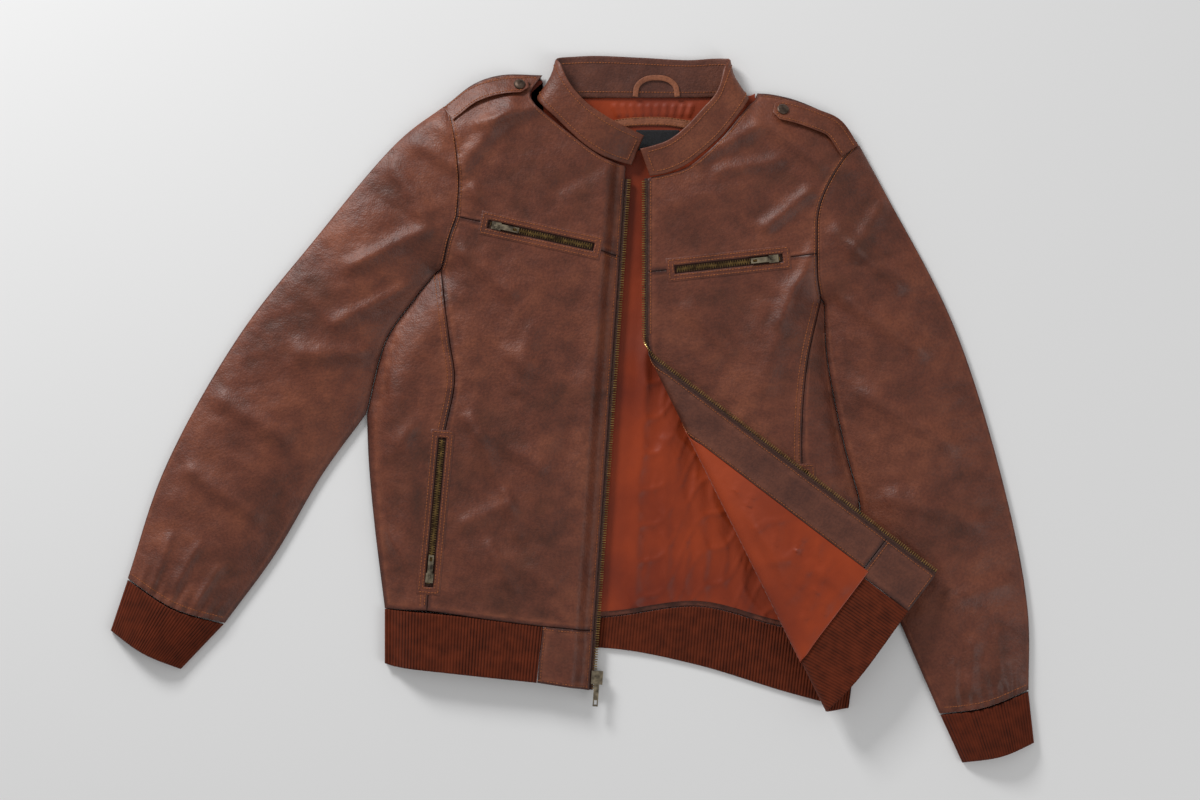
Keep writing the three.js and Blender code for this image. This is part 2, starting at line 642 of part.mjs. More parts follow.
// The front's height over the hem, where the front rib lies on the back rib.
const overBackRib = (front) => (x, y) => Math.max(front(x, y), 1.5 * RIB_KNIT + SEAM_GAP);

function addRightFront() {
  const zipByYoke = outline(byZip(256, ZIP_REVEAL), byZip(161, ZIP_REVEAL));
  const neckAndZip = joined(neckSideR, collarSeamR, zipByYoke);
  const yokePlan = finerByZip(patch(shoulderR, neckAndZip, yokeSeamR, armholeR.upper));
  const yoke = sheet(yokePlan, rightFront, FACE, FRONT_COLUMNS, 12);
  add("front_yoke_right", cut(yoke, windows.chest_right), leather());

  const zipSide = outline(byZip(161, ZIP_REVEAL), byZip(-231, ZIP_REVEAL));
  const panelRows = SIDE_ROWS + ABOVE_PRINCESS;
  const outerSide = cornered(armholeR.lower, princessR, ABOVE_PRINCESS / panelRows);
  const panelPlan = finerByZip(patch(yokeSeamR, zipSide, joined(hemR, hemByTabR), outerSide));
  const panel = sheet(panelPlan, rightFront, FACE, FRONT_COLUMNS, panelRows);
  add("front_panel_right", cut(panel, windows.chest_right, windows.hand_right), leather());

  const sideHem = outline([-197, -208], [-175, -209], [-152, -209.5]);
  const sidePlan = patch(armholeR.end, princessR, sideHem, joined(armpitR, sideR));
  const side = sheet(sidePlan, rightFront, FACE, SIDE_COLUMNS, SIDE_ROWS, SIDE_MARGINS);
  add("front_side_right", cut(side, windows.hand_right), leather());

  const strip = (y0, y1, in0, in1) =>
    patch(
      outline(byZip(y0, in0), byZip(y0, in1)), outline(byZip(y0, in1), byZip(y1, in1)),
      outline(byZip(y1, in0), byZip(y1, in1)), outline(byZip(y0, in0), byZip(y1, in0)),
    );
  const facing = strip(246, -225, FACING_WIDTH, ZIP_REVEAL);
  add("front_facing_right", sheet(facing, rightFront, FACING, 8, 12), facingLeather());
  addRightLining();

  const ribEnd = outline([-31, -226], [-37, -285]);
  const ribTop = outline([-197, -208], [-120, -215], [-78.5, -220], [-31, -226]);
  const ribBottom = outline([-197, -265], [-187, -268], [-112, -277], [-37, -285]);
  const rib = patch(ribTop, ribEnd, ribBottom, ribSideR);
  add("hem_rib_right", sheet(rib, overBackRib(rightFront), RIB_LAYER, 14, 2), ribKnit());

  const tabZip = outline(byZip(-231, ZIP_REVEAL), byZip(-293.5, ZIP_REVEAL));
  const tab = patch(hemByTabR, tabZip, outline([-37, -285], byZip(-293.5, ZIP_REVEAL)), ribEnd);
  const tapePlan = strip(-222, -300, TAPE_WIDTH + LAYER_GAP, 0);
  const tapeRoom = sheet(tapePlan, rightFront, TAPE_ROOM, 4, 2, ALL_ROUND(0));
  add("hem_tab_right", cut(sheet(tab, rightFront, TAB_LAYER, 8, 3), tapeRoom), leather());
}

const TAPE_ROOM = [-TAPE_CLEAR, TAPE_CLEAR];

const FRONT_LINING_ROWS = 14;
const LINING_ARMHOLE = 4 / FRONT_LINING_ROWS; // share of the lining's rows that meet the armhole
const LINING_MARGINS = [14, 0, 8, HALF_SEAM]; // at the armhole side, facing, shoulder and hem

function addRightLining() {
  const inner = FACING_WIDTH + LAYER_GAP;
  const neck = outline([-44, 331], [-38, 319], [-12, 285], byZip(258, inner));
  const top = outline([-132, 321], [-100, 338], [-75, 343], [-44, 331]);
  const hem = outline([-197, -206], [-120, -212], [-60, -219], byZip(-224, inner));
  const facingSide = outline(byZip(258, inner), byZip(-224, inner));
  const outerSide = cornered(armholeSideR, joined(armpitR, sideR), LINING_ARMHOLE);
  const plan = patch(top, joined(neck, facingSide), hem, outerSide);
  const sag = (u, v) => LINING_SAG * smooth(6 - 6 * u) * smooth(8 * v) * smooth(8 - 8 * v);
  const lowest = ON_BACK_LINING + 2 * LINING;
  const high = (x, y, u, v) => Math.max(rightFront(x, y) + LINING_TOP - sag(u, v), lowest);
  const low = (x, y, u, v) => high(x, y, u, v) - LINING;
  const lining = between(plan, low, high, 10, FRONT_LINING_ROWS, LINING_MARGINS);
  add("front_lining_right", lining, satin());
}

// A four-cornered strip along the left zip, from one base-size height to another.
const leftStrip = (y0, y1, in0, in1) => [
  byLeftZip(y0, in0), byLeftZip(y1, in0), byLeftZip(y1, in1), byLeftZip(y0, in1),
];

function addLeftFront() {
  const zipDown = outline(byLeftZip(243, ZIP_REVEAL), byLeftZip(145, ZIP_REVEAL));
  const yokePlan = patch(shoulderL, armholeL.upper, yokeSeamL, joined(neckSideL, collarSeamL, zipDown));
  add("front_yoke_left", cut(sheet(yokePlan, leftFront, FACE, 12, 12), windows.chest_left), leather());

  const hem = outline([255, -257], byLeftZip(-257, ZIP_REVEAL));
  const zipUp = outline(byLeftZip(-257, ZIP_REVEAL), byLeftZip(145, ZIP_REVEAL));
  const panel = turnedSheet(traced(16, yokeSeamL, armholeL.lower, princessL, hem, zipUp), FACE);
  add("front_panel_left", cut(panel, windows.chest_left, windows.hand_left), leather());

  const sidePlan = patch(armholeL.end, joined(armpitL, sideL), hemSideL, princessL);
  const side = sheet(sidePlan, leftFront, FACE, SIDE_COLUMNS, SIDE_ROWS, SIDE_MARGINS);
  add("front_side_left", cut(side, windows.hand_left), leather());

  const facing = turnedSheet(leftStrip(238, -257, FACING_WIDTH, ZIP_REVEAL), FACING);
  add("front_facing_left", facing, facingLeather());

  const liningOutline = [
    byLeftZip(238, FACING_WIDTH), spot(136, 258), spot(176, 308), spot(200, 318), spot(262, 300),
    spot(284, 275), spot(254, 238), spot(244, 168), spot(232, 135), spot(229, 95), spot(238, 50),
    spot(270, -31), spot(286, -91), spot(290, -150), spot(287, -240), spot(255, -257),
    byLeftZip(-257, FACING_WIDTH),
  ];
  const liningLayer = [LINING_TOP - LINING, LINING_TOP];
  const lining = turnedSheet(liningOutline, liningLayer, leftFront, STRIP, LINING_SAG);
  add("front_lining_left", lining, satin());

  const ribOutline = [
    byLeftZip(-260, 53), spot(233, -260), spot(256, -259.5), spot(282, -252), spot(300, -238),
    spot(290, -312), spot(263, -316), spot(217, -322), byLeftZip(-321, 53),
  ];
  const ribBase = overBackRib(leftFront);
  add("hem_rib_left", turnedSheet(ribOutline, RIB_LAYER, ribBase), ribKnit());

  const tab = turnedSheet(leftStrip(-257, -321, 53, ZIP_REVEAL), TAB_LAYER);
  const tapeRoom = turnedSheet(leftStrip(-250, -330, TAPE_WIDTH + 2 * LAYER_GAP, 0), TAPE_ROOM);
  add("hem_tab_left", cut(tab, tapeRoom), leather());
}

// ---- Collar ----------------------------------------------------------------------------------
// The stand collar lies as a flattened band: its front half over the neck opening and its back half
// flat behind it. Each station holds a spot of the neck seam and one of the top edge.
const FRONT_TOP = CHEST_RISE + FACE[1];
const FLAT = 3.2; // middle surface of the collar where it lies on the table
const collarStations = [
  [[62, 257, 9.4], [75, 288, 12]],
  [[49.5, 260.5, 10.5], [67, 292, 14]],
  [[32, 266.5, 17], [49.5, 300, 20]],
  [[14, 277.5, FRONT_TOP], [32, 310, 23]],
  [[-2, 291.5, FRONT_TOP], [14, 323, 23]],
  [[-19, 308, FRONT_TOP], [-2.5, 342, 22]],
  [[-32, 320, 17], [-12, 362, 17]],
  [[-36, 327, 9.5], [-16, 368, 9.5]],
  [[-30, 329, 5.5], [-12, 370, 5.5]],
  [[-14, 328.5, FLAT], [0, 371, FLAT]],
  [[25, 328, FLAT], [24, 372, FLAT]],
  [[75, 328, FLAT], [73, 370, FLAT]],
  [[125, 328, FLAT], [123, 367.5, FLAT]],
  [[166, 328.5, FLAT], [146, 369, FLAT]],
  [[178, 329, 5.5], [160, 369, 5.5]],
  [[184, 327, 9.5], [164, 368, 9.5]],
  [[181, 320, 17], [160, 361, 17]],
  [[170, 305, FRONT_TOP], [151, 333, 22]],
  [[153, 284.5, FRONT_TOP], [136, 315.5, 23]],
  [[136, 269.5, FRONT_TOP], [119, 297, 23]],
  [[118, 256.5, FRONT_TOP], [101, 283, 23]],
  [[99, 248.5, FRONT_TOP], [85, 277, 23]],
  [[81, 245, FRONT_TOP], [71, 273.5, 23]],
];

function collarSurface() {
  const curve = (side) => new THREE.CatmullRomCurve3(collarStations.map((s) => spot(...s[side])));
  const [seam, edge] = [curve(0), curve(1)];
  const middle = (u, v) => seam.getPoint(u).lerp(edge.getPoint(u), v);
  const STEP = 0.004;
  return (u, v, offset) => {
    const alongBand = middle(Math.min(u + STEP, 1), v).sub(middle(Math.max(u - STEP, 0), v));
    const normal = edge.getPoint(u).sub(seam.getPoint(u)).cross(alongBand).normalize();
    return middle(u, v).addScaledVector(normal, offset);
  };
}

function addCollar() {
  const surface = collarSurface();
  const layer = (near, far) =>
    closedGrid((u, v) => surface(u, v, near), (u, v) => surface(u, v, far), 44, 2);
  add("collar_outer", layer(0.3, 0.3 + LEATHER), leather());
  add("collar_inner", layer(-0.3 - LEATHER, -0.3), facingLeather());
}

// A flat strap along a plan path, lying over a base surface; its faces may rise along it.
function strap(path, width, low, high, cols, rows = 2) {
  const centre = outline(...path);
  const STEP = 0.01;
  const plan = (u, v) => {
    const behind = centre.getPoint(Math.max(u - STEP, 0));
    const way = centre.getPoint(Math.min(u + STEP, 1)).sub(behind).normalize();
    return centre.getPoint(u).add(new V(-way.y, way.x, 0).multiplyScalar((0.5 - v) * width));
  };
  const face = (surface) => (u, v) => {
    const p = plan(u, v);
    return new V(p.x, p.y, surface(p.x, p.y, u, v));
  };
  return closedGrid(face(low), face(high), cols, rows);
}

const level = (height) => () => height;

function addNeck() {
  const facing = [[40, 303], [60, 306.5], [80, 307.5], [100, 306.5], [121, 302]];
  const top = ON_BACK_LINING + LEATHER;
  add("neck_facing", strap(facing, 9, level(ON_BACK_LINING), level(top), 10, 1), tanLeather());
  const label = box(45, 21, 0.8).translate(0, 0, ON_BACK_LINING + 0.4);
  add("neck_label", label, blackCloth()).position.copy(spot(89.5, 285));
  const loop = [[66, 329], [68, 340], [76, 347], [88, 349], [100, 347], [108, 340], [110, 329]];
  const onCollar = FLAT + 0.3 + LEATHER + LAYER_GAP;
  add("hanger_loop", strap(loop, 6, level(onCollar), level(onCollar + 1.6), 16, 1), tanLeather());
}

// ---- Epaulettes ------------------------------------------------------------------------------
const EPAULETTES = {
  right: {
    path: [[-130, 311], [-103, 331], [-75, 339.5], [-46, 342]],
    width: 17,
    front: rightFront,
  },
  left: {
    path: [[291, 272], [274, 296], [256, 304.5], [234, 312], [211, 317]],
    width: 22,
    front: leftFront,
  },
};
const SNAP_PLACE = 0.9; // share of the strap's length from the armhole to its snap
const SNAP_LIFT = STUD_HEIGHT + LAYER_GAP; // how far the strap's free end stands off for the stud

function addEpaulette(side, { path, width, front }) {
  const under = (x, y, u) => front(x, y) + FACE[1] + LAYER_GAP + SNAP_LIFT * smooth(2.5 * u);
  const over = (...at) => under(...at) + EPAULETTE_THICKNESS;
  add(`epaulette_${side}`, strap(path, width, under, over, 14, 3), leather());
  const centre = outline(...path).getPoint(SNAP_PLACE);
  const tilt = facing(front, centre);
  const studBase = front(centre.x, centre.y) + FACE[1];
  const place = (mesh, height) => {
    mesh.position.set(centre.x, centre.y, 0).addScaledVector(new V(0, 0, 1), height);
    mesh.quaternion.copy(tilt);
  };
  const stud = new THREE.CylinderGeometry(SNAP_DIAMETER / 3, SNAP_DIAMETER / 3, STUD_HEIGHT - 0.6, 16);
  place(add(`snap_stud_${side}`, stud.rotateX(Math.PI / 2), darkMetal()), studBase + SNAP_LIFT / 2 + 0.1);
  const profile = [[0, 0], [1, 0], [1, 0.35], [0.8, 0.8], [0.4, 1], [0, 1]];
  const dome = profile.map(([r, z]) => new THREE.Vector2((r * SNAP_DIAMETER) / 2, z * 2));
  const cap = new THREE.LatheGeometry(dome, 20).rotateX(Math.PI / 2);
  const capBase = over(centre.x, centre.y, SNAP_PLACE) + LAYER_GAP;
  place(add(`snap_cap_${side}`, cap, darkMetal()), capBase + 0.3);
}

// The turn that stands a piece upright on the front's surface.
function facing(front, { x, y }) {
  const STEP = 4;
  const slopeX = (front(x + STEP, y) - front(x - STEP, y)) / (2 * STEP);
  const slopeY = (front(x, y + STEP) - front(x, y - STEP)) / (2 * STEP);
  const normal = new V(-slopeX, -slopeY, 1).normalize();
  return new THREE.Quaternion().setFromUnitVectors(new V(0, 0, 1), normal);
}

// ---- Sleeves ---------------------------------------------------------------------------------
const SLEEVE_ROWS = 16;
const UNDERARM = 4 / SLEEVE_ROWS; // share of the sleeve's rows that meet the armhole
const LINING_ROWS = SLEEVE_ROWS - 2;
const LINING_START = 1 - LINING_ROWS / SLEEVE_ROWS;
const UNDERARM_FADE = 0.2; // share of the sleeve over which its inner edge comes down to the table
const CUFF_LEVEL = 4; // height of the flattened cuff at its two edges
const SLEEVE_LINING_DROP = 3; // from the sleeve's leather down to its lining
const LINING_INSET = 9; // of the sleeve's lining inside its leather, at both edges
const BORE_INSET = 11; // and of the space inside the lining
const CUFF_WALL = 12; // the cuff's solid edges, where its two layers meet
const ARCH = 0.7; // how full the sleeve's arch is: 1 is a plain half wave
const SLEEVE_MARGIN = 0.4; // at the armhole
const ARMPIT_MARGIN = 1.2; // beside the body, where the two only lie side by side

function addSleeve(side, { armhole, outer, inner, wrist, cuff }, front) {
  // The sleeve fans out from the shoulder between its outer edge and the armhole and inner edge.
  const bodySide = cornered(armhole, inner, UNDERARM);
  const plan = (u, v) => outer.getPoint(v).lerp(bodySide.getPoint(v), u);
  const pastArmhole = (v) => smooth((v - UNDERARM) / UNDERARM_FADE);
  const beside = (v) => lerp(SLEEVE_MARGIN, ARMPIT_MARGIN, pastArmhole(v));
  const margins = [SLEEVE_MARGIN, beside, 4, HALF_SEAM];

  const tall = CHEST_RISE - EDGE_HEIGHT;
  // The arch meets the front's height at the armhole and comes down to the table elsewhere.
  const arch = (x, y, u, v) => {
    const at = bodySide.getPoint(v);
    const sewn = lerp(front(at.x, at.y) - EDGE_HEIGHT, 0, pastArmhole(v));
    const free = Math.min(lerp(tall, CUFF_RISE, v), 0.3 * outer.getPoint(v).distanceTo(at));
    const rise = Math.max(sewn, free, 0.1);
    const turn = Math.PI - Math.asin(Math.min(sewn / rise, 1) ** (1 / ARCH));
    return EDGE_HEIGHT + rise * Math.max(Math.sin(turn * u), 0) ** ARCH;
  };
  add(`sleeve_top_${side}`, sheet(plan, arch, FACE, 8, SLEEVE_ROWS, margins), leather());
  add(`sleeve_under_${side}`, sheet(plan, table, BACK_LEATHER, 3, SLEEVE_ROWS, margins), leather());

  const lowest = BACK_LINING[1] + 2 * LINING;
  // The lining starts a few rows down, on the same rows as the leather.
  const whole = (v) => lerp(LINING_START, 1, v);
  const liningPlan = (u, v) => plan(u, whole(v));
  const outside = (x, y, u, v) => Math.max(arch(x, y, u, whole(v)) + FACE[0] - SLEEVE_LINING_DROP, lowest);
  const inside = (...at) => outside(...at) - LINING;
  const inwards = (atArmhole, beyond) => (v) => lerp(atArmhole, beyond, pastArmhole(whole(v)));
  const shellMargins = [LINING_INSET, inwards(8, LINING_INSET), 3, 3];
  const boreMargins = [BORE_INSET, inwards(2, BORE_INSET), 5, 0];
  const shell = between(liningPlan, level(BACK_LINING[0]), outside, 8, LINING_ROWS, shellMargins);
  const bore = between(liningPlan, level(BACK_LINING[1]), inside, 8, LINING_ROWS, boreMargins);
  add(`sleeve_lining_${side}`, cut(shell, bore), satin());

  const cuffPlan = patch(wrist, cuff.inner, cuff.mouth, cuff.outer);
  const top = (x, y, u) => CUFF_LEVEL + (CUFF_RISE - 1) * Math.sin(Math.PI * u) ** ARCH;
  const under = (...at) => Math.max(top(...at) - RIB_KNIT, RIB_KNIT + SEAM_GAP);
  const tube = between(cuffPlan, level(0), top, 12, 1);
  const hand = between(cuffPlan, level(RIB_KNIT), under, 10, 1, [CUFF_WALL, CUFF_WALL, 0, 0]);
  add(`cuff_${side}`, cut(tube, hand), ribKnit());
}

// ---- Assembly --------------------------------------------------------------------------------
addBack();
addRightFront();
addLeftFront();
addFrontZip();
addLeftChain();
Object.entries(POCKETS).forEach(([name, pocket]) => addPocket(name, pocket));
addCollar();
addNeck();
Object.entries(EPAULETTES).forEach(([side, epaulette]) => addEpaulette(side, epaulette));
addSleeve("right", sleeveR, rightFront);
addSleeve("left", sleeveL, leftFront);

// The origin is on the table, under the middle of the jacket.
jacket.updateMatrixWorld(true);
const middleOfAll = new THREE.Box3().setFromObject(jacket, true).getCenter(new V());
jacket.position.set(-middleOfAll.x, -middleOfAll.y, 0);

export default jacket;
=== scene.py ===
import math

import bpy
import numpy as np
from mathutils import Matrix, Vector


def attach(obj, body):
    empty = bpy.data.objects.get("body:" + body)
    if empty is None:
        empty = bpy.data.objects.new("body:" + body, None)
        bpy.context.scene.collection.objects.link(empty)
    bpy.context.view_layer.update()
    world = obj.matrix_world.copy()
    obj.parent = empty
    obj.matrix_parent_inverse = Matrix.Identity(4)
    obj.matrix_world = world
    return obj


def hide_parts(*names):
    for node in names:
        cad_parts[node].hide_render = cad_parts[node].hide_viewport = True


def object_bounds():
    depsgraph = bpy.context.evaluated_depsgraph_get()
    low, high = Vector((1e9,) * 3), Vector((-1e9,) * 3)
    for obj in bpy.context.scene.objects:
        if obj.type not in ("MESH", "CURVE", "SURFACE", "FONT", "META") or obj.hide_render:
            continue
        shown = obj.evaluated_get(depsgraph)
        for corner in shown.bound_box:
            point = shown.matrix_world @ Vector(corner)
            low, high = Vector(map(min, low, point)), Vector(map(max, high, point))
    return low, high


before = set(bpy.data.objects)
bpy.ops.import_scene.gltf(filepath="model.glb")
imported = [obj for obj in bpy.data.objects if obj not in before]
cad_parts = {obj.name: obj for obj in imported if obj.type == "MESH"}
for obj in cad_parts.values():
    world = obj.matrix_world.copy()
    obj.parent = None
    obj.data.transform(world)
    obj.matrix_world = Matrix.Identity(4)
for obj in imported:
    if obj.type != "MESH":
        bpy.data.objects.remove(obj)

BOUNDS_AT_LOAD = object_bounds()

# A leather riding jacket laid open on its back, its left front turned outward.
# Outlines are in millimetres over the table and are placed in the frame by `place`.
MM = 0.001
OUTLINE_WIDTH = 0.96934  # the laid-out size that the outlines are drawn for
OUTLINE_LENGTH = 0.74168
ORIGIN_OFFSET = np.array([-0.015, -1.162, 0.0])

LEATHER = 1.4
FACE = (0.7, 2.1)  # the outer leather's two faces, from the middle surface of a front
FACING = (-2.1, -0.7)  # the same for the facing
LINING = 0.6
LINING_TOP = -2.3
LINED = (LINING_TOP - LINING, LINING_TOP)
TAB = (-2.1, 2.3)
THREAD_GAP = 0.05
RIB_KNIT = 3.2
CHEST_RISE = 18.0  # a front's middle surface over the table, and then at its sides and its zip
EDGE_HEIGHT = 1.1
ZIP_EDGE_HEIGHT = 7.2
ZIP_REVEAL = 6.0  # from the zip's line to the leather's edge
FACING_WIDTH = 46.0
TAB_WIDTH = 53
FOLD_RADIUS = 6.0
RIB_PITCH = 3.3
CUFF_RISE = 13.0
SEAM_ROW = 3.0  # from a seam to its first row of stitches, and to its second
SECOND_ROW = 7.5
ZIP_FOOT = (24, -293.5)
ZIP_HEAD = (61.3, 243)
LEFT_ZIP_X = 73


def place(points):
    """Points in the outlines' millimetres, as metres of the frame."""
    low, high = BOUNDS_AT_LOAD
    grade = np.array([(high[0] - low[0]) / OUTLINE_WIDTH, (high[1] - low[1]) / OUTLINE_LENGTH, 1.0])
    return (np.asarray(points, float) + ORIGIN_OFFSET) * grade * MM


# ---- Paths -------------------------------------------------------------------------------
def spline(points, per_leg=16):
    """A centripetal Catmull-Rom line through the points."""
    p = np.array(points, float)
    ends = np.vstack([2 * p[0] - p[1], p, 2 * p[-1] - p[-2]])
    out = []
    for p0, p1, p2, p3 in zip(ends, ends[1:], ends[2:], ends[3:]):
        d0, d1, d2 = (max(np.linalg.norm(b - a), 1e-6) ** 0.5 for a, b in ((p0, p1), (p1, p2), (p2, p3)))
        t1 = ((p1 - p0) / d0 - (p2 - p0) / (d0 + d1) + (p2 - p1) / d1) * d1
        t2 = ((p2 - p1) / d1 - (p3 - p1) / (d1 + d2) + (p3 - p2) / d2) * d1
        s = np.linspace(0, 1, per_leg, endpoint=False)[:, None]
        out.append(p1 + t1 * s + (3 * (p2 - p1) - 2 * t1 - t2) * s**2 + (2 * (p1 - p2) + t1 + t2) * s**3)
    return np.vstack([*out, p[-1:]])


class Path:
    """A line walked by its share of length, from 0 to 1."""

    def __init__(self, points):
        self.points = np.asarray(points, float)
        legs = np.linalg.norm(np.diff(self.points, axis=0), axis=1)
        self.length = legs.sum()
        self.share = np.concatenate([[0], np.cumsum(legs)]) / self.length

    def __call__(self, t):
        return np.stack([np.interp(t, self.share, column) for column in self.points.T], -1)

    def beside(self, distance):
        """The same line moved sideways, to the left of its direction."""
        way = np.gradient(self.points, axis=0)
        way /= np.linalg.norm(way, axis=1)[:, None] + 1e-9
        return Path(self.points + distance * np.stack([-way[:, 1], way[:, 0]], 1))

    def part(self, start, end, count=80):
        return Path(self(np.linspace(start, end, count)))


def curve(*points):
    return Path(spline(points))


def chain(*paths):
    return Path(np.vstack([path.points for path in paths]))


def zip_right(y, inward=0.0):
    """A spot by the right half's straight zip."""
    run = ZIP_HEAD[0] - ZIP_FOOT[0]
    rise = ZIP_HEAD[1] - ZIP_FOOT[1]
    return (ZIP_FOOT[0] + (y - ZIP_FOOT[1]) * run / rise - inward, y)


def zip_left(y, inward=0.0):
    """A spot by the left half's zip before its front is turned out."""
    return (LEFT_ZIP_X + inward, y)


def beside_zip(spot, y0, y1, inward=ZIP_REVEAL):
    """A straight line beside a zip."""
    return Path([spot(y0, inward), spot(y1, inward)])


R_ARMHOLE_UP = curve((-132, 321), (-125, 293), (-119, 240), (-121, 203))
R_ARMHOLE_LOW = curve((-121, 203), (-130, 177), (-135, 156), (-138, 147.5))
R_ARMHOLE_END = curve((-138, 147.5), (-142, 145))
R_ARMPIT = curve((-142, 145), (-167, 115), (-195, 74), (-216, -4))
R_SIDE = curve((-216, -4), (-214, -55), (-208, -120), (-197, -208))
R_RIB_SIDE = curve((-197, -208), (-197, -265))
R_PRINCESS = curve((-138, 147.5), (-128.5, 74), (-123, 32), (-134, -28), (-144, -105), (-152, -209.5))
R_YOKE = curve((-121, 203), (-89, 196), (22, 170), zip_right(161, ZIP_REVEAL))
R_SHOULDER = curve((-132, 321), (-103, 343), (-75, 352), (-31, 352))
R_NECK_SIDE = curve((-31, 352), (-44, 331), (-38, 319))
R_COLLAR_SEAM = curve((-38, 319), (-2.5, 290), (32, 265), zip_right(256, ZIP_REVEAL))
R_HEM = curve((-152, -209.5), (-78.5, -220), (-31, -226))
R_HEM_TAB = curve((-31, -226), zip_right(-231, ZIP_REVEAL))
R_ARMHOLE = chain(R_ARMHOLE_UP, R_ARMHOLE_LOW, R_ARMHOLE_END)

L_ARMHOLE_UP = curve((299.5, 281), (275, 248), (258.5, 211), (256, 164))
L_ARMHOLE_LOW = curve((256, 164), (257, 137), (261, 116))
L_ARMHOLE_END = curve((261, 116), (264, 113))
L_ARMPIT = curve((264, 113), (267, 58), (284, -31), (300.5, -91))
L_SIDE = curve((300.5, -91), (304, -150), (301, -235))
L_RIB_SIDE = curve((301, -235), (290, -313))
L_PRINCESS = curve((261, 116), (246, 48), (240, -31), (246, -150), (255, -257))
L_YOKE = curve(zip_left(145, ZIP_REVEAL), (105, 147.5), (223, 160), (256, 164))
L_SHOULDER = curve((194, 333), (208, 332), (237, 325), (270, 309), (299.5, 281))
L_NECK_SIDE = curve((194, 333), (192, 326), (184, 319))
L_COLLAR_SEAM = curve((184, 319), (154, 283), (119, 254), zip_left(243, ZIP_REVEAL))
L_HEM_SIDE = curve((255, -257), (280, -250), (301, -235))
L_ARMHOLE = chain(L_ARMHOLE_UP, L_ARMHOLE_LOW, L_ARMHOLE_END)

NECK_BACK = curve((-31, 352), (-46, 331), (-30, 329.5), (75, 329.5), (178, 329.5), (196, 328), (194, 333))
NECK_LINING = curve((-31, 352), (-44, 338), (-25, 334), (75, 334), (173, 334), (190, 336), (194, 338))
BACK_HEM = curve((-197, -208), (-80, -217), (35, -217), (134, -206), (220, -227), (301, -235))
BACK_RIB_EDGE = curve((-197, -265), (-100, -258), (29, -249), (127, -266), (223, -295), (290, -313))

FOLD_START = np.array([83.5, 68.0])
FOLD_END = np.array([276.6, -321.0])
FOLD_WAY = (FOLD_END - FOLD_START) / np.linalg.norm(FOLD_END - FOLD_START)
FOLD_OUT = np.array([FOLD_WAY[1], -FOLD_WAY[0]])

SLEEVES = {
    "right": {
        "armhole": R_ARMHOLE,
        "outer": curve((-132, 321), (-181, 284), (-275, 174), (-351, 77), (-428, -61), (-467, -177)),
        "inner": chain(R_ARMPIT, curve((-216, -4), (-261, -66), (-312, -152), (-365, -224))),
        "wrist": curve((-467, -177), (-418, -208), (-365, -224)),
        "cuff_outer": curve((-467, -177), (-485, -231)),
        "cuff_inner": curve((-365, -224), (-411, -272)),
        "mouth": curve((-485, -231), (-450, -255), (-411, -272)),
    },
    "left": {
        "armhole": L_ARMHOLE,
        "outer": curve((299.5, 281), (329, 227), (400, 90), (454, -83), (478, -209), (479, -294)),
        "inner": chain(L_ARMPIT, curve((300.5, -91), (306, -130), (320, -165), (343, -221), (385.5, -319))),
        "wrist": curve((479, -294), (432, -312), (385.5, -319)),
        "cuff_outer": curve((479, -294), (485, -349)),
        "cuff_inner": curve((385.5, -319), (409, -370)),
        "mouth": curve((485, -349), (450, -363), (409, -370)),
    },
}


# ---- Heights -----------------------------------------------------------------------------
def smooth(t):
    t = np.clip(t, 0, 1)
    return t * t * (3 - 2 * t)


def ease_out(t):
    return np.sin(np.clip(t, 0, 1) * math.pi / 2)


def lifted(xy, z):
    """Plan spots with their heights."""
    return np.concatenate([xy, np.broadcast_to(z, xy.shape[:-1])[..., None]], -1)


def level(height):
    """A flat base surface."""
    return lambda xy, u=None: np.full(xy.shape[:-1], float(height))


def over(base):
    """Spots at a height over a base surface."""
    return lambda spots, h: lifted(spots, base(spots) + h)


def distance(xy, path):
    """Shortest way in plan from each spot to a path."""
    a = path.points[:-1, :2]
    leg = path.points[1:, :2] - a
    best = np.full(xy.shape[:-1], 1e9)
    for start, way in zip(a[::2], leg[::2] * 2):
        t = np.clip(((xy - start) @ way) / (way @ way + 1e-9), 0, 1)
        best = np.minimum(best, np.linalg.norm(xy - start - t[..., None] * way, axis=-1))
    return best


def ridge(xy, start, end, width, height):
    """A soft fold that runs from start to end and dies away past its ends."""
    start, end = np.array(start, float), np.array(end, float)
    way = end - start
    t = ((xy - start) @ way) / (way @ way)
    off = np.linalg.norm(xy - start - np.clip(t, 0, 1)[..., None] * way, axis=-1)
    fade = smooth(t * 4 + 0.6) * smooth((1 - t) * 4 + 0.6)
    return height * np.exp(-((off / width) ** 2)) * fade


def swell(xy, size, seed):
    """Gentle unevenness of laid-out material, from -1 to 1."""
    x, y = xy[..., 0] / size, xy[..., 1] / size
    total = np.sin(1.3 * x + 2.1 * y + seed) + np.sin(-1.9 * x + 0.8 * y + 2.3 * seed)
    return (total + np.sin(0.6 * x - 2.6 * y + 1.7 * seed)) / 3


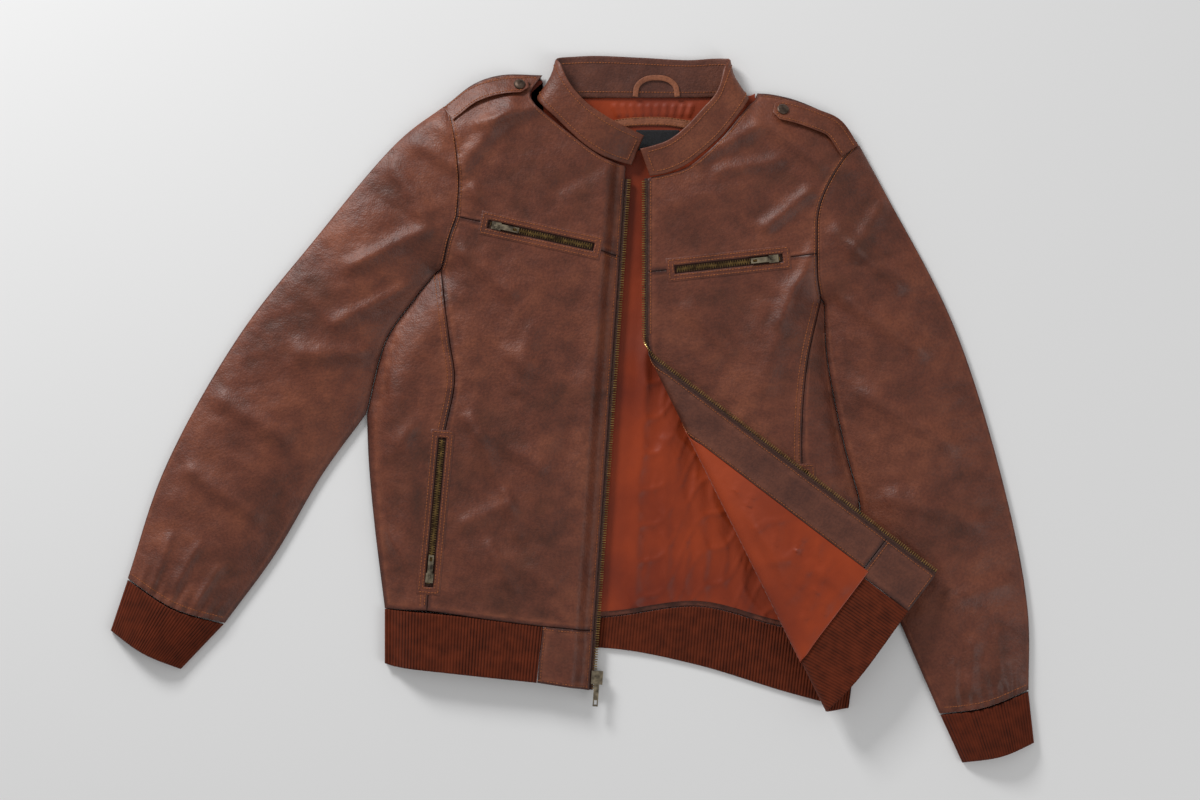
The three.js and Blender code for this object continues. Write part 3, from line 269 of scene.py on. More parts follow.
RIGHT_FOLDS = [
    ((-108, -4), (-72, -84), 7, 1.5),
    ((-70, -82), (-56, -132), 7, 1.6),
    ((-88, -138), (-60, -190), 6, 1.2),
    ((-196, -60), (-189, -145), 5, 1.1),
    ((-40, 90), (-60, 20), 9, 1.3),
    ((-105, 235), (-70, 180), 7, 2.0),
    ((-118, 170), (-60, 120), 9, 1.8),
    ((-70, 60), (10, 20), 12, 1.4),
    ((-95, -20), (-30, -60), 10, 1.5),
    ((-118, -120), (-60, -95), 9, 1.6),
    ((-200, -120), (-165, -170), 7, 1.8),
    ((-120, 250), (-60, 325), 10, 2.4),
    ((-100, 300), (-20, 322), 7, 2.0),
    ((-20, 230), (40, 262), 9, -1.2),
    ((-110, 90), (-96, -60), 16, 1.4),
    ((-60, 130), (-20, -180), 22, 1.3),
    ((10, 120), (-8, -60), 14, -1.0),
    ((-190, 40), (-150, -150), 12, 1.6),
    ((-205, -60), (-160, -10), 8, 1.4),
    ((-110, -150), (-30, -170), 14, 1.0),
]
LEFT_FOLDS = [
    ((250, 230), (200, 190), 8, 2.2),
    ((252, 170), (215, 90), 8, 1.8),
    ((120, 110), (170, 60), 10, 1.5),
    ((150, 250), (220, 262), 8, 1.8),
    ((130, 262), (200, 300), 9, 2.0),
    ((205, 300), (262, 255), 9, 1.8),
    ((105, 220), (190, 235), 16, 1.2),
    ((230, 140), (200, 20), 13, 1.6),
    ((180, 130), (160, 30), 16, -1.1),
    ((262, 60), (276, -60), 9, 1.2),
]
FLAP_FOLDS = [
    ((150, -80), (262, -205), 8, 2.6),
    ((190, -110), (250, -250), 7, 2.2),
    ((215, -150), (300, -190), 6, 2.0),
    ((165, -120), (235, -255), 5, 1.4),
    ((250, -270), (215, -170), 10, -0.9),
]
BACK_FOLDS = [
    ((78, 140), (70, -60), 7, 3.0),
    ((96, -30), (100, -200), 6, 3.0),
    ((132, -70), (138, -205), 7, 2.6),
    ((172, -130), (180, -225), 8, 2.6),
    ((64, -60), (66, -205), 6, 2.4),
    ((70, 90), (62, -200), 9, 2.6),
    ((105, 10), (118, -190), 11, 3.0),
    ((150, -60), (160, -215), 10, 2.2),
    ((90, -40), (140, -150), 7, 1.6),
    ((60, 250), (120, 262), 8, 1.4),
    ((55, 215), (70, 120), 6, 1.2),
]


def folded(xy, folds):
    return sum(ridge(xy, *fold) for fold in folds)


def rising(xy, side, shoulder):
    share = ease_out(distance(xy, side) / 38) * ease_out(distance(xy, shoulder) / 40)
    return EDGE_HEIGHT + (CHEST_RISE - EDGE_HEIGHT) * share


R_OUTER_SIDE = chain(R_ARMPIT, R_SIDE, R_RIB_SIDE)
L_OUTER_SIDE = chain(L_ARMPIT, L_SIDE, L_RIB_SIDE)

POCKETS = {
    "chest_right": {"ends": ((22, 171), (-88, 195)), "length": 112},
    "chest_left": {"ends": ((109, 147.5), (218, 159.5)), "length": 112},
    "hand_right": {"ends": ((-136, -30), (-150, -183)), "length": 155},
    "hand_left": {"ends": ((242, -66), (251, -218)), "length": 155},
}
WINDOW = 9.0  # width of the opening that shows the chain
WELT = 8.0  # width of the leather frame along its long sides, and at its ends
FRAME_END = 9.0
WELT_TOP = 2.8
RECESS = 3.0
FOLD_GAIN = 2.1  # how much taller the fronts' folds are made than their lists say


def pocket_axes(name):
    """A pocket's middle, the way along its zip and the way across it, in plan."""
    start, end = (np.array(p, float) for p in POCKETS[name]["ends"])
    way = (end - start) / np.linalg.norm(end - start)
    return (start + end) / 2, way, np.array([-way[1], way[0]])


def pocket_spots(name, along, across):
    """Spots in a pocket's own frame, in plan."""
    middle, way, side = pocket_axes(name)
    return middle + np.asarray(along)[..., None] * way + np.asarray(across)[..., None] * side


def recess(xy, names):
    """How deep the leather drops inside the pockets' windows, where their chains show."""
    deep = np.zeros(xy.shape[:-1])
    for name in names:
        middle, way, side = pocket_axes(name)
        along = np.abs((xy - middle) @ way) - POCKETS[name]["length"] / 2
        across = np.abs((xy - middle) @ side)
        deep = np.maximum(deep, RECESS * smooth((WINDOW + 0.5 - across) / 4) * smooth((4 - along) / 4))
    return deep


def calm(xy, names):
    """0 on the stiff ground round a pocket and 1 away from it."""
    best = np.ones(xy.shape[:-1])
    for name in names:
        line = Path(POCKETS[name]["ends"]).part(0, 1, 9)
        best = np.minimum(best, smooth((distance(xy, line) - 13) / 20))
    return best


def right_front(xy):
    base = rising(xy, R_OUTER_SIDE, R_SHOULDER)
    from_zip = zip_right(xy[..., 1])[0] - xy[..., 0]
    inward = smooth((from_zip - 12) / 14)
    free = 1 - np.exp(-((np.maximum(from_zip - 4, 0) / 22) ** 2))
    at_edge = smooth(distance(xy, R_OUTER_SIDE) / 22)
    life = FOLD_GAIN * folded(xy, RIGHT_FOLDS) + 0.9 * swell(xy, 34, 1.0) + 0.35 * swell(xy, 9, 3.0)
    still = calm(xy, ("chest_right", "hand_right"))
    return ZIP_EDGE_HEIGHT + (base - ZIP_EDGE_HEIGHT) * inward + life * free * at_edge * still


def left_front(xy):
    base = rising(xy, L_OUTER_SIDE, L_SHOULDER)
    at_edge = smooth(distance(xy, L_OUTER_SIDE) / 22)
    life = FOLD_GAIN * folded(xy, LEFT_FOLDS) + 0.8 * swell(xy, 34, 2.0) + 0.35 * swell(xy, 9, 4.0)
    past = (xy - FOLD_START) @ FOLD_OUT
    before_fold = smooth(-past / 25)
    return base + life * at_edge * before_fold * calm(xy, ("chest_left", "hand_left"))


def wrinkled(xy, size, seed):
    """Sharp soft-cloth wrinkles, from 0 to 1."""
    x, y = xy[..., 0] / size, xy[..., 1] / size
    one = 1 - np.abs(np.sin(x + 0.35 * y + 1.3 * np.sin(0.45 * y + seed)))
    two = 1 - np.abs(np.sin(0.7 * x - 0.55 * y + 1.1 * np.sin(0.6 * x + seed)))
    return 0.6 * one**3 + 0.6 * two**4


def back_lining_height(xy):
    open_part = smooth((xy[..., 0] - zip_right(xy[..., 1])[0] - 16) / 20)  # flat under the zip slider's way
    starts = range(44, 128, 9)
    gathers = sum(ridge(xy, (x, 321), (x + 5 - 0.1 * (x - 40), 309), 2.6, 1.9) for x in starts)
    loose = smooth((262 - xy[..., 1]) / 22)  # it lies flat under the label and the neck strip
    life = folded(xy, BACK_FOLDS) + 0.5 * swell(xy, 25, 4.0) + 2.4 * wrinkled(xy, 6.5, 2.0)
    return np.clip(life, 0, 4.2) * open_part * loose + gathers


def inward_of(xy):
    """How far a spot of the flat left front lies in from its zip."""
    return xy[..., 0] - zip_left(0)[0]


def turned(xy, h, base=left_front):
    """A spot of the flat left front, at height h over its middle surface, after the turn."""
    past = (xy - FOLD_START) @ FOLD_OUT
    angle = np.clip(past / FOLD_RADIUS, 0, math.pi)
    reach = np.maximum(past - math.pi * FOLD_RADIUS, 0)
    line = xy - past[..., None] * FOLD_OUT
    level = base(line)
    level = level + (CHEST_RISE - level) * smooth(past / (math.pi * FOLD_RADIUS))
    out = (FOLD_RADIUS - h) * np.sin(angle) - reach
    spot = line + out[..., None] * FOLD_OUT
    soft = smooth((inward_of(xy) - FACING_WIDTH) / 12) * smooth((xy[..., 1] + 262) / 14)
    life = (folded(spot, FLAP_FOLDS) + 3.4 * wrinkled(spot, 7.5, 5.0)) * soft + 0.6 * swell(spot, 22, 3.0)
    life = life * smooth(reach / 12)
    up = level + FOLD_RADIUS - (FOLD_RADIUS - h) * np.cos(angle) + life
    flat = past <= 0
    x = np.where(flat[..., None], xy, spot)
    return lifted(x, np.where(flat, base(xy) + h, up))


# ---- Meshes ------------------------------------------------------------------------------
def patch(top, right, bottom, left):
    """A four-edged patch: top and bottom run left to right, left and right run down."""

    def plan(u, v):
        u, v = np.asarray(u)[..., None], np.asarray(v)[..., None]
        flat_u, flat_v = u[..., 0], v[..., 0]
        across = left(flat_v) * (1 - u) + right(flat_v) * u
        down = top(flat_u) * (1 - v) + bottom(flat_u) * v
        corners = (top(0) * (1 - u) + top(1) * u) * (1 - v) + (bottom(0) * (1 - u) + bottom(1) * u) * v
        return across + down - corners

    plan.size = (max(top.length, bottom.length), max(left.length, right.length))
    return plan


def strip(corner, y0, y1, in0, in1):
    """A straight strip beside a zip; corner gives its spots."""
    a, b = corner(y0, in0), corner(y0, in1)
    c, d = corner(y1, in0), corner(y1, in1)
    return patch(Path([a, b]), Path([b, d]), Path([c, d]), Path([a, c]))


EDGE_STEPS = (0, 0.5, 1.2, 2.4)  # millimetres from an edge, where a sheet's rim is rounded


def spaced(length, step):
    """Shares of a length: even steps, with finer ones at both ends."""
    ends = [s / length for s in EDGE_STEPS]
    count = max(2, round((length - 2 * EDGE_STEPS[-1]) / step))
    middle = np.linspace(ends[-1], 1 - ends[-1], count + 1)
    return np.concatenate([ends[:-1], middle, [1 - e for e in reversed(ends[:-1])]])


def edge_distance(u, v, width, length):
    return np.minimum.reduce([u * width, (1 - u) * width, v * length, (1 - v) * length])


def grid(plan, step, inset=0.3):
    """Spots of a patch on a fine grid, and how far each lies from the nearest edge."""
    width, length = plan.size
    u, v = np.meshgrid(spaced(width, step), spaced(length, step))
    share = inset / width, inset / length
    spots = plan(share[0] + u * (1 - 2 * share[0]), share[1] + v * (1 - 2 * share[1]))
    return spots, edge_distance(u, v, width, length)


def new_object(name, points, faces, material, body="jacket", sharp=50, tone=None):
    name = name.replace(" ", "_")
    mesh = bpy.data.meshes.new(name)
    mesh.from_pydata(place(points).tolist(), [], faces)
    if tone is not None:
        values = np.tile(np.ravel(tone), len(points) // np.size(tone)).astype(np.float32)
        mesh.attributes.new("tone", "FLOAT", "POINT").data.foreach_set("value", values)
    mesh.update()
    mesh.shade_smooth()
    mesh.set_sharp_from_angle(angle=math.radians(sharp))
    obj = bpy.data.objects.new(name, mesh)
    bpy.context.scene.collection.objects.link(obj)
    mesh.materials.append(material)
    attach(obj, body)
    return obj


def facing_out(points, faces):
    """The faces, turned round if they make a solid inside out."""
    p = np.asarray(points)
    quads = np.array([f if len(f) == 4 else [*f, f[-1]] for f in faces])
    a, b, c, d = (p[quads[:, k]] for k in range(4))
    volume = sum(np.einsum("ij,ij->i", a, np.cross(*pair)).sum() for pair in ((b, c), (c, d)))
    return faces if volume > 0 else [f[::-1] for f in faces]


def quads(a, b, c, d):
    return np.stack([a.ravel(), b.ravel(), c.ravel(), d.ravel()], 1)


def joined(low, high):
    """The points of two grids, and the number of each in the list of them all."""
    points = np.concatenate([low.reshape(-1, 3), high.reshape(-1, 3)])
    return points, np.arange(len(points)).reshape(2, *low.shape[:2])


def closed(low, high):
    """Points and faces of the solid between two grids of points."""
    points, (bottom, top) = joined(low, high)
    faces = [
        quads(top[:-1, :-1], top[:-1, 1:], top[1:, 1:], top[1:, :-1]),
        quads(bottom[:-1, :-1], bottom[1:, :-1], bottom[1:, 1:], bottom[:-1, 1:]),
        quads(bottom[:-1, 0], top[:-1, 0], top[1:, 0], bottom[1:, 0]),
        quads(bottom[:-1, -1], bottom[1:, -1], top[1:, -1], top[:-1, -1]),
        quads(bottom[0, :-1], bottom[0, 1:], top[0, 1:], top[0, :-1]),
        quads(bottom[-1, :-1], top[-1, :-1], top[-1, 1:], bottom[-1, 1:]),
    ]
    return points, facing_out(points, np.concatenate(faces).tolist())


def declared(obj):
    """Returns the object unchanged."""
    return obj


def rim(edge, layers, roll=0.55):
    """The two layers' offsets, drawn together at the rim so that the edge is rounded."""
    low, high = layers
    pinch = roll * np.clip(1 - edge / 1.2, 0, 1) ** 2
    return low + pinch, high - pinch


def seam_shade_and_wear(spots, edge):
    """Tone of a leather sheet: painted shade darkening its seams and its first stitch row, lighter rubbed
    wear beside them and here and there.
    """
    # painted shade: dark in the seam groove and along the stitch row 3 mm in
    seam = -0.9 * np.exp(-((edge / 1.4) ** 2)) - 0.45 * np.exp(-(((edge - 3) / 0.9) ** 2))
    rubbed = 0.75 * np.exp(-(((edge - 5.4) / 2.2) ** 2)) * (0.55 + 0.45 * swell(spots, 5.5, 9.0))
    patches = 0.16 * swell(spots, 23, 6.0) + 0.12 * swell(spots, 8, 8.0)
    return seam + rubbed + patches


def puckers(spots, edge):
    """Small unevenness that the stitching draws into a seam."""
    return 0.55 * swell(spots, 2.9, 7.0) * np.exp(-(((edge - 4.5) / 4) ** 2))


def soft_sheet(name, points, material, node, length, rests_on, body="jacket", **look):
    """A closed sheet between two grids of points, which stands for a CAD node."""
    obj = new_object(name, *closed(*points), material, body, **look)
    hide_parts(node)
    declared(obj)


def laid_sheet(name, plan, base, layers, material, node, step=2.5, rests_on=("back lining sheet",)):
    """A sheet at a steady height over a base surface."""
    spots, edge = grid(plan, step)
    low, high = rim(edge, layers)
    points = [over(base)(spots, h) for h in (low, high + puckers(spots, edge))]
    soft_sheet(name, points, material, node, plan.size[1], rests_on, tone=seam_shade_and_wear(spots, edge))


def bent_sheet(name, plan, layers, material, node, step=2.5, rests_on=("left front lining",),
               sewn=True, base=left_front):
    """A sheet of the left front, carried round the fold; a sewn one is drawn in by its stitches."""
    spots, edge = grid(plan, step)
    low, high = rim(edge, layers)
    lift = puckers(spots, edge) if sewn else 0
    points = [turned(spots, h, base) for h in (low - lift, high)]
    soft_sheet(name, points, material, node, plan.size[1], rests_on, tone=seam_shade_and_wear(spots, edge))


BEAD_RING = [(0.9, 0), (0.4, 0.85), (-0.4, 0.85), (-0.9, 0), (-0.4, -0.85), (0.4, -0.85)]


def beads(name, spots, ways, size, material, body="jacket", taper=0.6):
    """Many small rounded pieces, each lying along its own way: stitches or zip teeth."""
    spots, ways = np.asarray(spots, float), np.asarray(ways, float)
    ways = ways / (np.linalg.norm(ways, axis=1)[:, None] + 1e-9)
    side = np.cross(np.tile([0.0, 0.0, 1.0], (len(ways), 1)), ways)
    side /= np.linalg.norm(side, axis=1)[:, None] + 1e-9
    up = np.cross(ways, side)
    stations = [(-1, taper), (-0.6, 1), (0.6, 1), (1, taper)]
    shape = [(x, y * k, z * k) for x, k in stations for y, z in BEAD_RING]
    ring = np.arange(len(BEAD_RING))
    at = np.arange(len(shape)).reshape(len(stations), -1)
    after = np.roll(at, -1, axis=1)
    base = quads(at[:-1], after[:-1], after[1:], at[1:]).tolist()
    caps = [ring[::-1].tolist(), at[-1].tolist()]
    points, faces = [], []
    for n, (p, w, s, q) in enumerate(zip(spots, ways, side, up)):
        for x, y, z in shape:
            points.append(p + w * x * size[0] / 2 + s * y * size[1] / 2 + q * z * size[2] / 2)
        faces += [[i + n * len(shape) for i in face] for face in base + caps]
    return new_object(name, np.array(points), faces, material, body, sharp=40)


STITCH = (2.4, 1.0, 1.0)
STITCH_PITCH = 3.2


def walked(track, pitch):
    """Spots and ways along a 3-D track at an even pitch."""
    path = Path(track)
    t = (np.arange(int(path.length / pitch)) + 0.5) * pitch / path.length
    near = 0.4 / path.length
    return path(t), path(np.minimum(t + near, 1)) - path(np.maximum(t - near, 0))


class Thread:
    """Gathers stitches so that a body's all make one piece."""

    def __init__(self):
        self.spots, self.ways = [], []

    def sew(self, track):
        spots, ways = walked(track, STITCH_PITCH)
        self.spots.append(spots)
        self.ways.append(ways)

    def over(self, path, height):
        """Sews along a plan path over a height."""
        xy = path(np.linspace(0, 1, max(8, int(path.length / 3))))
        self.sew(lifted(xy, height(xy)))

    def along(self, seams, height):
        """Sews beside parts of seams: each is a path, where it starts and ends, and how far aside."""
        for path, start, end, aside in seams:
            self.over(path.part(start, end).beside(aside), height)

    def finish(self, name, material, body="jacket"):
        return beads(name, np.vstack(self.spots), np.vstack(self.ways), STITCH, material, body)


# ---- Materials ---------------------------------------------------------------------------
def linear(hex_color):
    rgb = [int(hex_color[i:i + 2], 16) / 255 for i in (0, 2, 4)]
    return [c / 12.92 if c <= 0.04045 else ((c + 0.055) / 1.055) ** 2.4 for c in rgb] + [1.0]


class Shader:
    """A material's nodes, wired by short calls."""

    def __init__(self, name, roughness, metallic=0.0, specular=0.5, sheen=0.0, anisotropic=0.0):
        self.material = bpy.data.materials.new(name)
        self.material.use_nodes = True
        self.tree = self.material.node_tree
        self.shader = self.tree.nodes["Principled BSDF"]
        looks = {"Roughness": roughness, "Metallic": metallic, "Specular IOR Level": specular,
                 "Sheen Weight": sheen, "Anisotropic": anisotropic}
        for key, value in looks.items():
            self.shader.inputs[key].default_value = value
        self.where = self.tree.nodes.new("ShaderNodeTexCoord").outputs["Object"]

    def link(self, out, to):
        self.tree.links.new(out, to)

    def node(self, kind, settings, **links):
        node = self.tree.nodes.new("ShaderNode" + kind)
        for key, value in settings.items():
            node.inputs[key].default_value = value
        for key, source in links.items():
            if source:
                self.link(source, node.inputs[key])
        return node

    def noise(self, scale, detail=4.0, stretch=None):
        where = self.where
        if stretch:
            where = self.node("Mapping", {"Scale": stretch}, Vector=where).outputs["Vector"]
        return self.node("TexNoise", {"Scale": scale, "Detail": detail}, Vector=where).outputs["Fac"]

    def cells(self, scale):
        return self.node("TexVoronoi", {"Scale": scale}, Vector=self.where).outputs["Distance"]

    def tone(self):
        node = self.node("Attribute", {})
        node.attribute_name = "tone"
        return node.outputs["Fac"]

    def toned(self, color, dark, light):
        """The color, darker where the mesh's tone is under 0 and lighter where it is over."""
        tone = self.tone()
        deep = self.mixed(self.range(tone, 0, 1, 0, -1), color, self.mixed(1.0, color, dark, "MULTIPLY"))
        return self.mixed(self.range(tone, 0, 1, 0, 1), deep, light)

    def ramp(self, value, stops):
        node = self.tree.nodes.new("ShaderNodeValToRGB")
        ramp = node.color_ramp
        while len(ramp.elements) < len(stops):
            ramp.elements.new(0.5)
        for element, (at, color) in zip(ramp.elements, stops):
            element.position = at
            element.color = color
        self.link(value, node.inputs["Fac"])
        return node.outputs["Color"]

    def mixed(self, value, a, b, mode="MIX"):
        node = self.tree.nodes.new("ShaderNodeMix")
        node.data_type = "RGBA"
        node.blend_type = mode
        for socket, source in ((node.inputs[0], value), (node.inputs[6], a), (node.inputs[7], b)):
            if isinstance(source, (int, float, list)):
                socket.default_value = source
            else:
                self.link(source, socket)
        return node.outputs[2]

    def range(self, value, low, high, start=0.0, end=1.0):
        limits = {"From Min": start, "From Max": end, "To Min": low, "To Max": high}
        return self.node("MapRange", limits, Value=value).outputs["Result"]

    def bump(self, value, strength, depth, under=None):
        settings = {"Strength": strength, "Distance": depth}
        return self.node("Bump", settings, Height=value, Normal=under).outputs["Normal"]

    def between(self, value, dark, light, start=0.3, end=0.7):
        """Two colors shared out by a value."""
        return self.ramp(value, [(start, linear(dark)), (end, linear(light))])

    def done(self, color, normal=None, roughness=None):
        for key, source in (("Base Color", color), ("Normal", normal), ("Roughness", roughness)):
            if source:
                self.link(source, self.shader.inputs[key])
        return self.material


def leather(name, dark, middle, light, roughness=0.48):
    """Waxed leather: cloudy burnish, rubbed spots, pores, fine creases and a soft shine."""
    s = Shader(name, roughness, specular=0.42)
    cloud = s.mixed(0.4, s.noise(9, 4), s.noise(48, 7))
    color = s.ramp(cloud, [(0.3, linear(dark)), (0.5, linear(middle)), (0.74, linear(light))])
    speck = s.ramp(s.noise(380, 4), [(0.38, [0.6, 0.52, 0.5, 1]), (0.6, [1.08, 1.05, 1.0, 1])])
    color = s.mixed(0.5, color, speck, "MULTIPLY")
    # the tone attribute darkens the seams with painted shade and lightens the rubbed wear beside them
    color = s.toned(color, [0.3, 0.22, 0.2, 1], linear(light))
    grain = s.bump(s.cells(560), 0.4, 0.0005)
    creases = s.bump(s.noise(48, 7), 0.5, 0.004, grain)
    return s.done(color, creases, s.range(s.noise(35, 4), roughness - 0.1, roughness + 0.14))


def satin(name, dark, light):
    """Satin lining: a fine weave and a broad sheen."""
    s = Shader(name, 0.5, specular=0.35, sheen=0.08, anisotropic=0.4)
    color = s.between(s.noise(9, 5), dark, light)
    weave = s.bump(s.noise(900, 2, (1, 0.15, 1)), 0.25, 0.0003)
    creases = s.bump(s.noise(26, 5, (1.0, 0.6, 1.0)), 0.5, 0.004, weave)
    return s.done(color, creases)


def knit(name, dark, light):
    """Rib knit wool: fuzzy, matt, with small loops."""
    s = Shader(name, 0.92, specular=0.2, sheen=0.06)
    # the tone attribute darkens the rib troughs with painted shade and lightens the rib crests with painted
    # highlight
    color = s.toned(s.between(s.noise(90, 4), dark, light), [0.25, 0.2, 0.2, 1], linear(light))
    return s.done(color, s.bump(s.cells(700), 0.2, 0.0003))


def metal(name, dark, light, roughness=0.34):
    """Old metal: mottled between a darker and a brighter tone."""
    s = Shader(name, roughness, 0.92)
    color = s.between(s.noise(160, 5), dark, light, end=0.65)
    return s.done(color, s.bump(s.noise(500, 3), 0.2, 0.0002), s.range(s.noise(220, 3), 0.25, 0.5))


def woven(name, dark, light, roughness=0.85):
    """Plain woven tape or thread."""
    s = Shader(name, roughness)
    color = s.between(s.noise(700, 2), dark, light)
    return s.done(color, s.bump(s.noise(1200, 1, (1, 3, 1)), 0.5, 0.0003))


SHELL = leather("shell leather", "45200f", "643220", "82482f")
SHELL_DARK = leather("collar leather", "48220f", "66331f", "854b30")
INSIDE_LEATHER = leather("facing leather", "3f1d12", "552c1e", "6e3d2a", 0.55)
TAN = leather("tan leather", "70402a", "8a5236", "a2664a", 0.58)
SATIN = satin("satin lining", "641c04", "9e3a0e")
KNIT = knit("rib knit", "431705", "652810")
KNIT_DARK = knit("rib knit cuff", "401504", "5f240d")
DARK_METAL = metal("dark metal", "453d35", "a5977f")
SNAP_METAL = metal("snap metal", "2f2520", "66554a", 0.5)
TEETH = metal("zip teeth", "5c4a30", "b8975c", 0.36)
TAPE = woven("zip tape", "261109", "4d2c1f")
THREAD = woven("thread", "6b3317", "a8612f", 0.7)
LABEL = woven("label", "0e0e10", "222226")


# ---- Body --------------------------------------------------------------------------------
RIB_COLUMNS = 6  # columns of points to each rib


def ribbing(u, width):
    """How far the knit drops between its ribs, from 0 to -1."""
    return np.abs(np.sin(math.pi * u * width / RIB_PITCH)) ** 0.6 - 1


def rib_shade_and_highlight(rib):
    # painted shade in the troughs between the ribs and painted highlight on their crests
    return 1.2 * rib + 0.45


def rib_sheet(name, plan, point_of, node, rests_on):
    """A knitted band: fine enough columns to carry its ribs."""
    width, length = plan.size
    count = int(width / RIB_PITCH) * RIB_COLUMNS
    u, v = np.meshgrid(np.linspace(0.002, 0.998, count + 1), spaced(length, 4))
    spots = plan(u, v)
    edge = np.minimum(v * length, (1 - v) * length)
    rib = 1.2 * ribbing(u, width)
    low, high = rim(edge, (-RIB_KNIT / 2, RIB_KNIT / 2), 1.3)
    points = [point_of(spots, low - 0.6 * rib), point_of(spots, high + rib)]
    # its tone is painted shade between the ribs and painted highlight on them
    soft_sheet(name, points, KNIT, node, length, rests_on, sharp=80, tone=rib_shade_and_highlight(rib))


def build_back():
    left = chain(R_ARMHOLE, R_ARMPIT, R_SIDE)
    right = chain(L_ARMHOLE, L_ARMPIT, L_SIDE)
    plan = patch(chain(R_SHOULDER, NECK_BACK, L_SHOULDER), right, BACK_HEM, left)
    laid_sheet("back leather", plan, level(0), (0, LEATHER), SHELL, "back_panel", 8, ("table",))

    top = chain(R_SHOULDER, NECK_LINING, L_SHOULDER)
    spots, edge = grid(patch(top, right, BACK_HEM, left), 2.5, 6)
    low, high = rim(edge, (1.8, 2.4), 0.2)
    points = [over(back_lining_height)(spots, h) for h in (low, high)]
    soft_sheet("back lining sheet", points, SATIN, "back_lining", plan.size[1], ("back leather",))

    rib = patch(BACK_HEM, L_RIB_SIDE, BACK_RIB_EDGE, R_RIB_SIDE)
    rib_sheet("back hem rib", rib, over(level(1.75)), "hem_rib_back", ("table",))


def front_rib(front):
    return lambda xy: np.maximum(front(xy), 1.5 * RIB_KNIT + 0.9)


def build_right_front(thread):
    top = lambda xy: right_front(xy) - recess(xy, ("chest_right", "hand_right"))
    neck = chain(R_NECK_SIDE, R_COLLAR_SEAM, beside_zip(zip_right, 256, 161))
    yoke = patch(R_SHOULDER, neck, R_YOKE, R_ARMHOLE_UP)
    laid_sheet("right yoke", yoke, top, FACE, SHELL, "front_yoke_right")
    zip_side = beside_zip(zip_right, 161, -231)
    hem = chain(R_HEM, R_HEM_TAB)
    outer = chain(R_ARMHOLE_LOW, R_PRINCESS)
    panel = patch(R_YOKE, zip_side, hem, outer)
    laid_sheet("right front panel", panel, top, FACE, SHELL, "front_panel_right")
    side_hem = curve((-197, -208), (-175, -209), (-152, -209.5))
    side = patch(Path(R_ARMHOLE_END.points[::-1]), R_PRINCESS, side_hem, chain(R_ARMPIT, R_SIDE))
    laid_sheet("right side panel", side, top, FACE, SHELL, "front_side_right")
    facing = strip(zip_right, 246, -225, FACING_WIDTH, ZIP_REVEAL)
    laid_sheet("right facing", facing, right_front, FACING, INSIDE_LEATHER, "front_facing_right", 5)

    inner = FACING_WIDTH + 0.3
    neckline = curve((-44, 331), (-38, 319), (-12, 285), zip_right(258, inner))
    lining = patch(curve((-132, 321), (-100, 338), (-75, 343), (-44, 331)),
                   chain(neckline, beside_zip(zip_right, 258, -224, inner)),
                   curve((-197, -206), (-120, -212), (-60, -219), zip_right(-224, inner)),
                   chain(R_ARMHOLE, R_ARMPIT, R_SIDE))
    lining_base = lambda xy: np.maximum(right_front(xy) - 3, 4.2)
    spots = grid(lining, 9, 16)[0]
    points = [over(lining_base)(spots, h) for h in LINED]
    soft_sheet("right front lining", points, SATIN, "front_lining_right", lining.size[1],
               ("back lining sheet",))

    rib_top = curve((-197, -208), (-120, -215), (-78.5, -220), (-31, -226))
    rib_low = curve((-197, -265), (-187, -268), (-112, -277), (-37, -285))
    rib_end = curve((-31, -226), (-37, -285))
    rib = patch(rib_top, rib_end, rib_low, R_RIB_SIDE)
    rib_sheet("right hem rib", rib, over(front_rib(right_front)), "hem_rib_right", ("back hem rib",))
    tab_low = curve((-37, -285), zip_right(-293.5, ZIP_REVEAL))
    tab_zip = beside_zip(zip_right, -231, -293.5)
    tab = patch(R_HEM_TAB, tab_zip, tab_low, rib_end)
    laid_sheet("right hem tab", tab, right_front, TAB, SHELL, "hem_tab_right", rests_on=("back hem rib",))

    lift = lambda xy: top(xy) + FACE[1] + THREAD_GAP
    thread.over(beside_zip(zip_right, 243, -291, ZIP_REVEAL + SEAM_ROW).part(0, 1, 200), lift)
    thread.along([
        (R_PRINCESS, 0.01, 0.99, -SEAM_ROW), (R_PRINCESS, 0.01, 0.99, -SECOND_ROW),
        (R_ARMHOLE, 0.02, 0.98, SEAM_ROW), (R_YOKE, 0.9, 1, -SEAM_ROW),
        (R_COLLAR_SEAM, 0.02, 0.97, -SEAM_ROW), (R_SHOULDER, 0.05, 0.95, -SEAM_ROW),
    ], lift)
    for line in (R_HEM_TAB.beside(-SEAM_ROW), tab_low.beside(SEAM_ROW), rib_end.beside(SEAM_ROW)):
        thread.over(line, lift)


